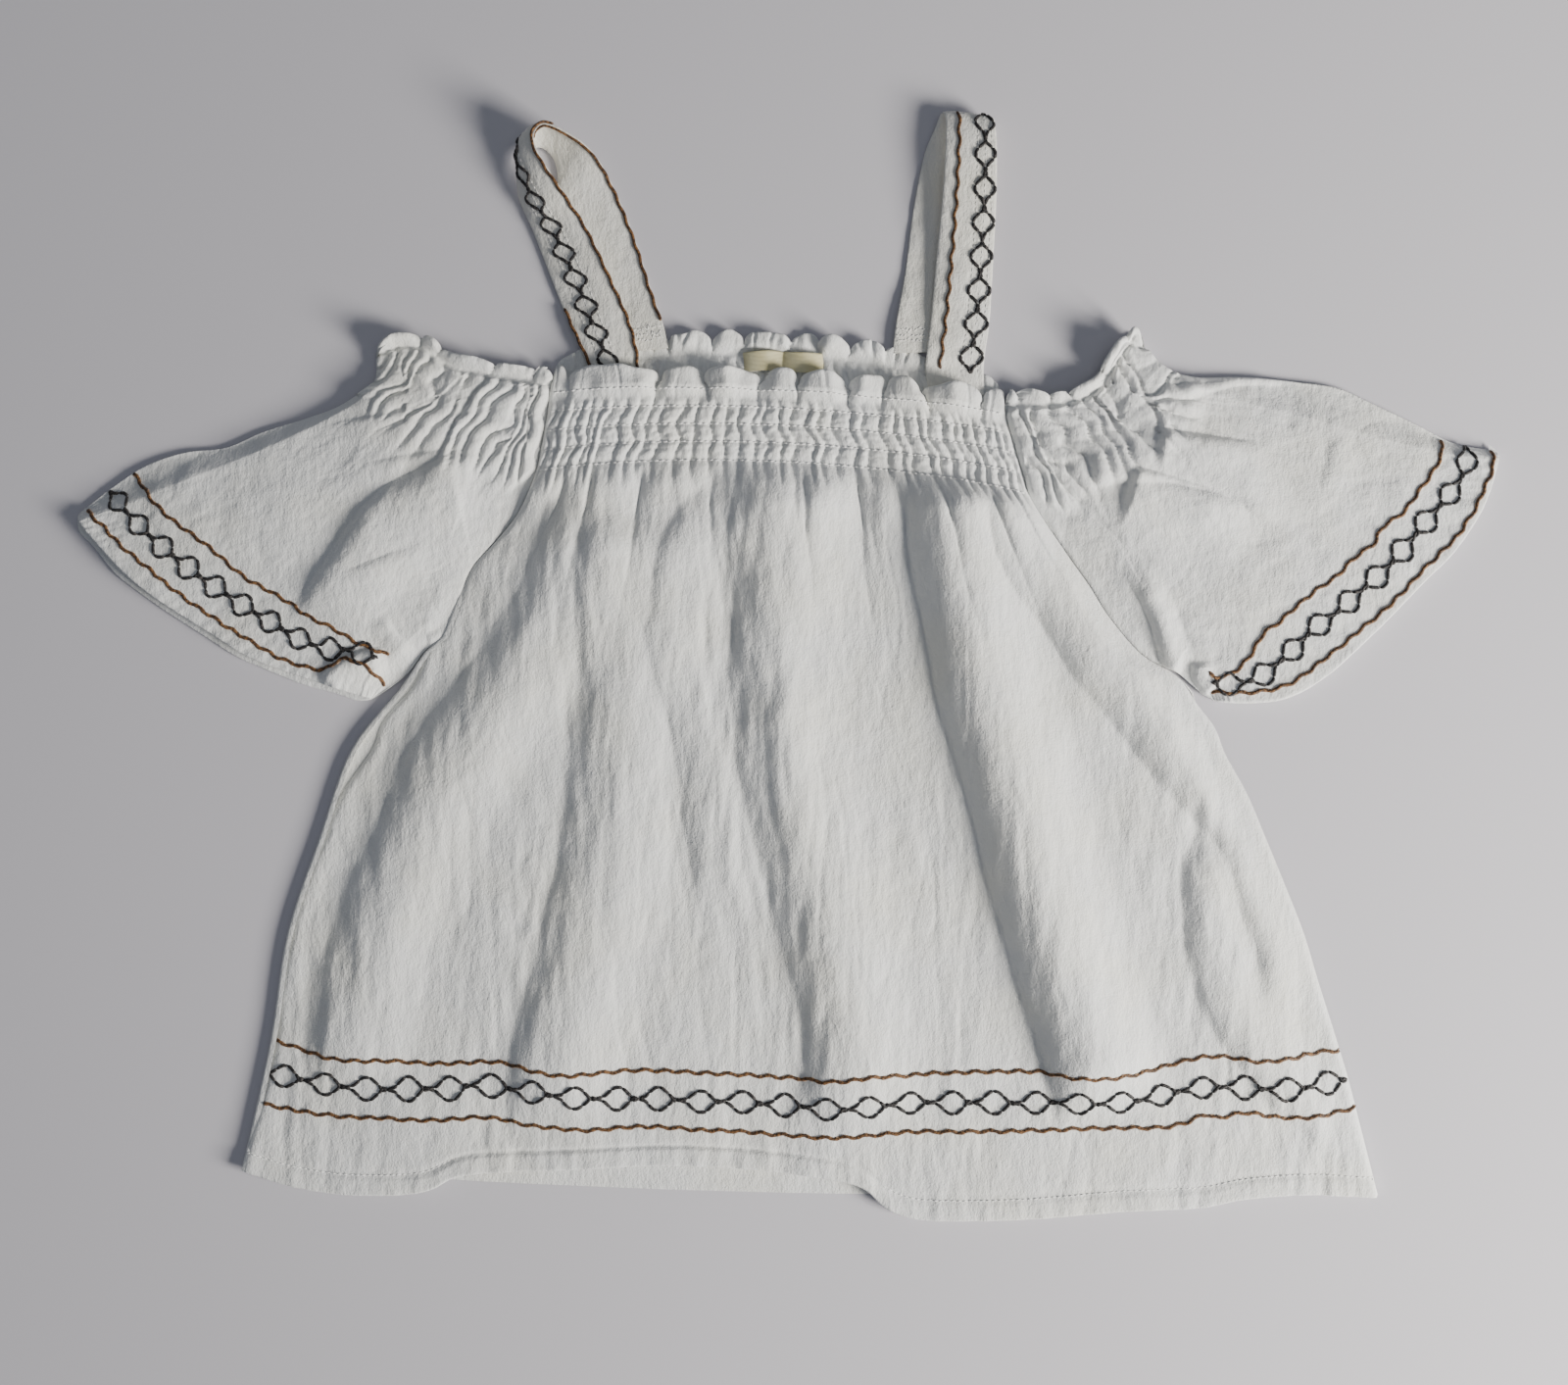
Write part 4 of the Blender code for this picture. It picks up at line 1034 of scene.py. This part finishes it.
def makeStrap(own):
    even = strapShares(own)[0]
    share = np.linspace(0, 1, own["along"])[:, None]
    side = 0.5 - 0.5 * np.cos(np.linspace(0, np.pi, 25))[None, :]
    across = mix(0.012, 0.988, side)
    p, normal = strapSurface(own, across, even(share))
    quilt = 0 * share
    for sewn in own["sewn"]:
        quilt = quilt - 0.22 * np.exp(-((across - sewn) / 0.022) ** 2)
    ruck = 0.16 * softNoise(share * 40, side * 2) + 0.09 * fineNoise(share * 130, side * 6)
    rim = own["wall"] * np.sqrt(np.clip(1 - (2 * side - 1) ** 8, 0, 1))
    top = p + normal * (rim + quilt + ruck)[..., None]
    bottom = p - normal * (rim - ruck)[..., None]
    ring = np.concatenate([top, bottom[:, ::-1], top[:, :1]], 1)
    return makeGrid(own["name"], ring, "strapCotton")


straps = {"right": makeStrap(strapRight), "left": makeStrap(strapLeft)}


labelSize = {
    "from": -18.4, "to": 13.6, "low": 119.4, "high": 127.4, "seat": 2.25, "hump": 2.6, "wall": 0.22,
}


def makeLabel():
    # a folded loop of tape, sewn down at its ends and middle
    own = labelSize
    u = np.linspace(0, 1, 90)[None, :]
    v = np.linspace(0, 1, 16)[:, None]
    hump = own["hump"] * np.abs(np.sin(2 * np.pi * u)) ** 0.8 * (0.8 + 0.2 * v)
    x = mix(own["from"], own["to"], u) + 0.3 * np.sin(4 * v + 6 * u)
    y = mix(own["low"], own["high"], v) + 0.5 * np.sin(5 * u)
    z = own["seat"] + hump + 0 * v
    p = np.stack(np.broadcast_arrays(x, y, z), -1)
    normal = unit(np.cross(np.gradient(p, axis=1), np.gradient(p, axis=0)))
    top, bottom = p + own["wall"] * normal, p - own["wall"] * normal
    ring = np.concatenate([top, bottom[::-1], top[:1]], 0)
    return makeGrid("neckLabel", ring, "labelTape", flip=True)


label = makeLabel()
print("straps and label made")


# thread work: sizes of the threads and their stitches
thread = {
    "brown": 0.66, "black": 0.68, "tan": 0.3, "hemSewing": 0.22, "elastic": 0.30, "strapSewing": 0.14,
    "wave": 0.5, "waveLength": 8.4, "edging": 0.55, "stitch": 4.6, "gap": 0.12, "hemStitch": 2.4,
}
# the embroidery's lines on the hem and on both cuffs, x y
upperLine = [
    (-210, -152), (-186, -158.4), (-162, -159.6), (-142, -160.8), (-118, -160.4), (-98, -164),
    (-86, -164.8), (-58, -163.6), (-18, -165.6), (12, -167.2), (34, -165.6), (62, -164.8), (94, -164),
    (118, -165.2), (134, -164.8), (150, -162.4), (162, -159.2), (174, -158), (190, -159.6),
    (202, -158.8), (214, -157.2), (224.5, -156),
]
lowerLine = [
    (-213.4, -177.6), (-190, -181.6), (-162, -183.2), (-142, -183.6), (-122, -182.8), (-106, -185.6),
    (-82, -187.6), (-58, -186.4), (-18, -188.8), (-2, -190), (22, -190.8), (46, -188.8), (78, -188.4),
    (102, -188), (126, -187.2), (150, -186.8), (162, -184.4), (168, -181.6), (174, -182.8),
    (186, -180.8), (198, -182.8), (214, -182.4), (231, -179.2),
]
chainLine = [
    (-213, -165), (-208, -166), (-178, -170.4), (-141, -171.2), (-123, -170), (-89, -173.6),
    (-53, -175.6), (-19, -176.8), (16, -178.8), (48, -176.8), (101, -176.8), (137, -176), (154, -173.2),
    (168, -170.8), (184, -170.4), (201, -171.2), (222, -168.4), (227, -168),
]
rightInner = [
    (-266.8, 78.4), (-258, 68), (-250, 60), (-242, 54), (-234, 48), (-226, 40.8), (-218, 34.8),
    (-210, 30.4), (-202, 25.6), (-194, 20), (-184, 15.2), (-173, 8.8), (-162, 4.4),
]
rightOuter = [
    (-285, 63.4), (-278, 57.4), (-270, 48.8), (-258, 39.2), (-250, 32), (-242, 26), (-234, 20.8),
    (-226, 15.2), (-214, 8), (-206, 3.2), (-198, 0.4), (-188, -1.2), (-180, 2.8), (-172, 0.8),
    (-167, -3.6), (-164.6, -8),
]
rightChain = [
    (-276.5, 71.5), (-272, 66.8), (-259, 53.6), (-245, 42), (-230.8, 31.2), (-218, 22.8), (-208.4, 16.8),
    (-198.8, 11.6), (-188, 7), (-176, 6.4), (-166, 3.4),
]
leftInner = [
    (264.8, 92), (264, 86), (260, 78), (254, 70), (248, 62), (240, 56), (236, 49.2), (229.2, 44),
    (221.2, 36), (214, 31.2), (206, 24.8), (198, 17.6), (192, 13), (188, 6), (184, 1), (179, -3),
    (173, -4.4), (169.6, -2.6),
]
leftOuter = [
    (285.2, 87.6), (284.8, 80), (281, 72), (276.8, 63), (270.4, 53), (263, 45.6), (256, 38.4),
    (250, 31.6), (243.6, 25.2), (236, 18.4), (228, 12), (219, 4.6), (211, -1.6), (203, -7), (195, -9.6),
    (186, -10.8), (177, -10.8), (171.6, -10.2),
]
leftChain = [
    (275, 90), (274, 82), (270, 73.2), (258.4, 59.2), (247.6, 46), (237.2, 35.6), (224.8, 24.8),
    (211.6, 14), (200, 3.2), (191, -4.4), (181, -7.4), (171, -6.4),
]


def sideways(plan):
    # unit directions to the left of travel along a plan line
    run = unit(np.gradient(plan, axis=0))
    return np.stack([-run[:, 1], run[:, 0]], 1)


def wavePath(line, seed):
    # a running wave beside a plan line
    run = Run(line)
    share = np.linspace(0, 1, int(run.length / 0.75))
    p = run.read(share)
    uneven = 0.35 * roughNoise(share * run.length / 14 + seed, seed * 3.1)
    turn = 2 * np.pi * share * run.length / thread["waveLength"] + 2.0 * uneven
    swing = thread["wave"] * np.sin(turn) + uneven
    return p + sideways(p) * swing[:, None]


def diamondSwing(phase, half):
    # two threads that cross and cross back: a pinch with a small twist between diamonds
    away = np.abs(phase - np.floor(phase) - 0.5)
    wave = np.clip((0.37 - away) / 0.30, 0, 1)
    twist = 0.13 * np.sin(4 * np.pi * (phase - np.round(phase))) * (away > 0.33)
    return half * (np.sin(0.5 * np.pi * wave) * 0.35 + 0.65 * wave + twist)


def stitches(points, normals, length, gap):
    # cuts a laid path into stitches with a little cloth showing between
    at = lengths(points)
    out, begin = [], 0.0
    while begin + 0.5 * length < at[-1]:
        end = min(begin + length, at[-1])
        want = np.linspace(begin, end, max(4, int((end - begin) / 0.55)))
        cut, facing = readColumns(want, at, points), readColumns(want, at, normals)
        bow = np.sin(np.pi * np.linspace(0, 1, len(want)))[:, None]
        out.append((cut + facing * (0.16 * bow - 0.08), facing))
        begin = end + gap
    return out


def flatChain(line, count, half):
    # the two threads of a chain along a plan line
    run = Run(line)
    share = np.linspace(0, 1, int(run.length / 0.6))
    p = run.read(share)
    across = sideways(p)
    uneven = 0.5 * roughNoise(share * run.length / 16, 5.5)
    size = half * (1 + 0.12 * roughNoise(share * count * 0.7, 2.5))
    swing = diamondSwing(share * count + 0.04 * uneven, size)
    return [p + across * (way * swing + uneven)[:, None] for way in (1, -1)]


def embroider(name, ground, lines, chain, count, half):
    brown, edging, black = [], [], []
    for k, line in enumerate(lines):
        plan = wavePath(line, k + 1.0)
        brown.append(ground.lay(plan, 0.28))
        for way in (-1, 1):
            points, normals = ground.lay(plan + sideways(plan) * way * thread["edging"], 0.18)
            edging += stitches(points, normals, 2.6, 0.5)
    for plan in flatChain(chain, count, half):
        points, normals = ground.lay(plan, 0.3)
        black += stitches(points, normals, thread["stitch"], thread["gap"])
    return [
        makeTubes(name + "Brown", brown, thread["brown"], "brownThread"),
        makeTubes(name + "Tan", edging, thread["tan"], "tanThread", sides=5),
        makeTubes(name + "Black", black, thread["black"], "blackThread"),
    ]


def sewLine(name, ground, lines, pitch, lift, radius):
    # small stitches along plan lines
    made = []
    for line in lines:
        run = Run(line, 4)
        points, normals = ground.lay(run.read(np.linspace(0, 1, int(run.length / 0.8))), lift)
        made += stitches(points, normals, pitch * 0.72, pitch * 0.28)
    return makeTubes(name, made, radius, "sewingThread", sides=5)


frontGround = Ground(frontPanel)
frontThreads = embroider("hem", frontGround, [upperLine, lowerLine], chainLine, 26, 4.5)
sewnHem = [(x, y + front["hemSewn"]) for x, y in frontHem]
hemParts = [sewnHem[:6], sewnHem[14:]]          # between them the hem has folded under
frontThreads.append(sewLine("hemStitching", frontGround, hemParts, thread["hemStitch"], 0.05,
                            thread["hemSewing"]))
elastic = []
spots = np.linspace(0.01, 0.99, 40)
for row in seamRows[elasticFirst:bandFoot + 1]:
    dip = row[4] * np.sin(np.pi * spots) ** 0.8
    elastic.append(np.stack([mix(row[0], row[2], spots), mix(row[1], row[3], spots) - dip], 1))
frontThreads.append(sewLine("elasticStitching", frontGround, elastic, 2.6, 0.2, thread["elastic"]))
sleeveThreads = {}
cuffLines = {"right": (rightInner, rightOuter, rightChain), "left": (leftInner, leftOuter, leftChain)}
for key, (inner, outer, chain) in cuffLines.items():
    sleeveThreads[key] = embroider(key + "Cuff", Ground(sleeves[key]), [inner, outer], chain, 10, 4.3)
print("panel threads laid")


def strapThreads(own):
    even, length = strapShares(own)
    made, brown, black, sewn = [], [], [], []

    def lay(across, share, lift):
        p, normal = strapSurface(own, across, even(share))
        return p + normal * (np.sign(lift) * own["wall"] + lift), normal * np.sign(lift)

    for at, begin, end, lift in own["brown"]:
        share = np.linspace(begin, end, int((end - begin) * length / 0.75))
        swing = 0.020 * np.sin(2 * np.pi * share * length / thread["waveLength"] + 1.0)
        brown.append(lay(at + swing * (1 if 0.1 < at < 0.9 else 0.5), share, lift))
    share = np.linspace(own["chainFrom"], own["chainTo"], 420)
    reach = own["diamonds"] * (share - share[0]) / (share[-1] - share[0])
    for way in (1, -1):
        points, normals = lay(own["chainAt"] + way * diamondSwing(reach, own["chainHalf"]), share, 0.28)
        black += stitches(points, normals, thread["stitch"], thread["gap"])
    for at in own["sewn"] + [own["chainAt"]]:
        share = np.linspace(own["chainFrom"], own["chainTo"], 300)
        points, normals = lay(at + 0 * share, share, 0.02)
        sewn += stitches(points, normals, 1.7, 0.7)
    # the back end is sewn down raggedly
    across = np.linspace(0.04, 0.96, 70)
    for k, tack in enumerate(own["tackAt"]):
        ragged = 0.007 * roughNoise(across * 22, 1.7 * k) + 0.004 * fineNoise(across * 50, k)
        points, normals = lay(across, tack + ragged, -0.12)
        sewn += stitches(points, normals, 2.2, 0.5)
    return [makeTubes(own["name"] + "Brown", brown, thread["brown"], "brownThread"),
            makeTubes(own["name"] + "Black", black, thread["black"], "blackThread"),
            makeTubes(own["name"] + "Stitching", sewn, thread["strapSewing"], "sewingThread", sides=5)]


ribbonThreads = {"right": strapThreads(strapRight), "left": strapThreads(strapLeft)}
print("strap threads laid")


def handOver(piece, node, threads=()):
    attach(piece, "root")
    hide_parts(node)
    for laid in threads:
        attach(laid, "root")


handOver(backPanel, "back_panel")
handOver(frontPanel, "front_panel", frontThreads)
for key, piece in sleeves.items():
    handOver(piece, "sleeve_" + key, sleeveThreads[key])
for key, piece in straps.items():
    threads = ribbonThreads[key]
    handOver(piece, "strap_" + key, threads)
handOver(label, "label", ())
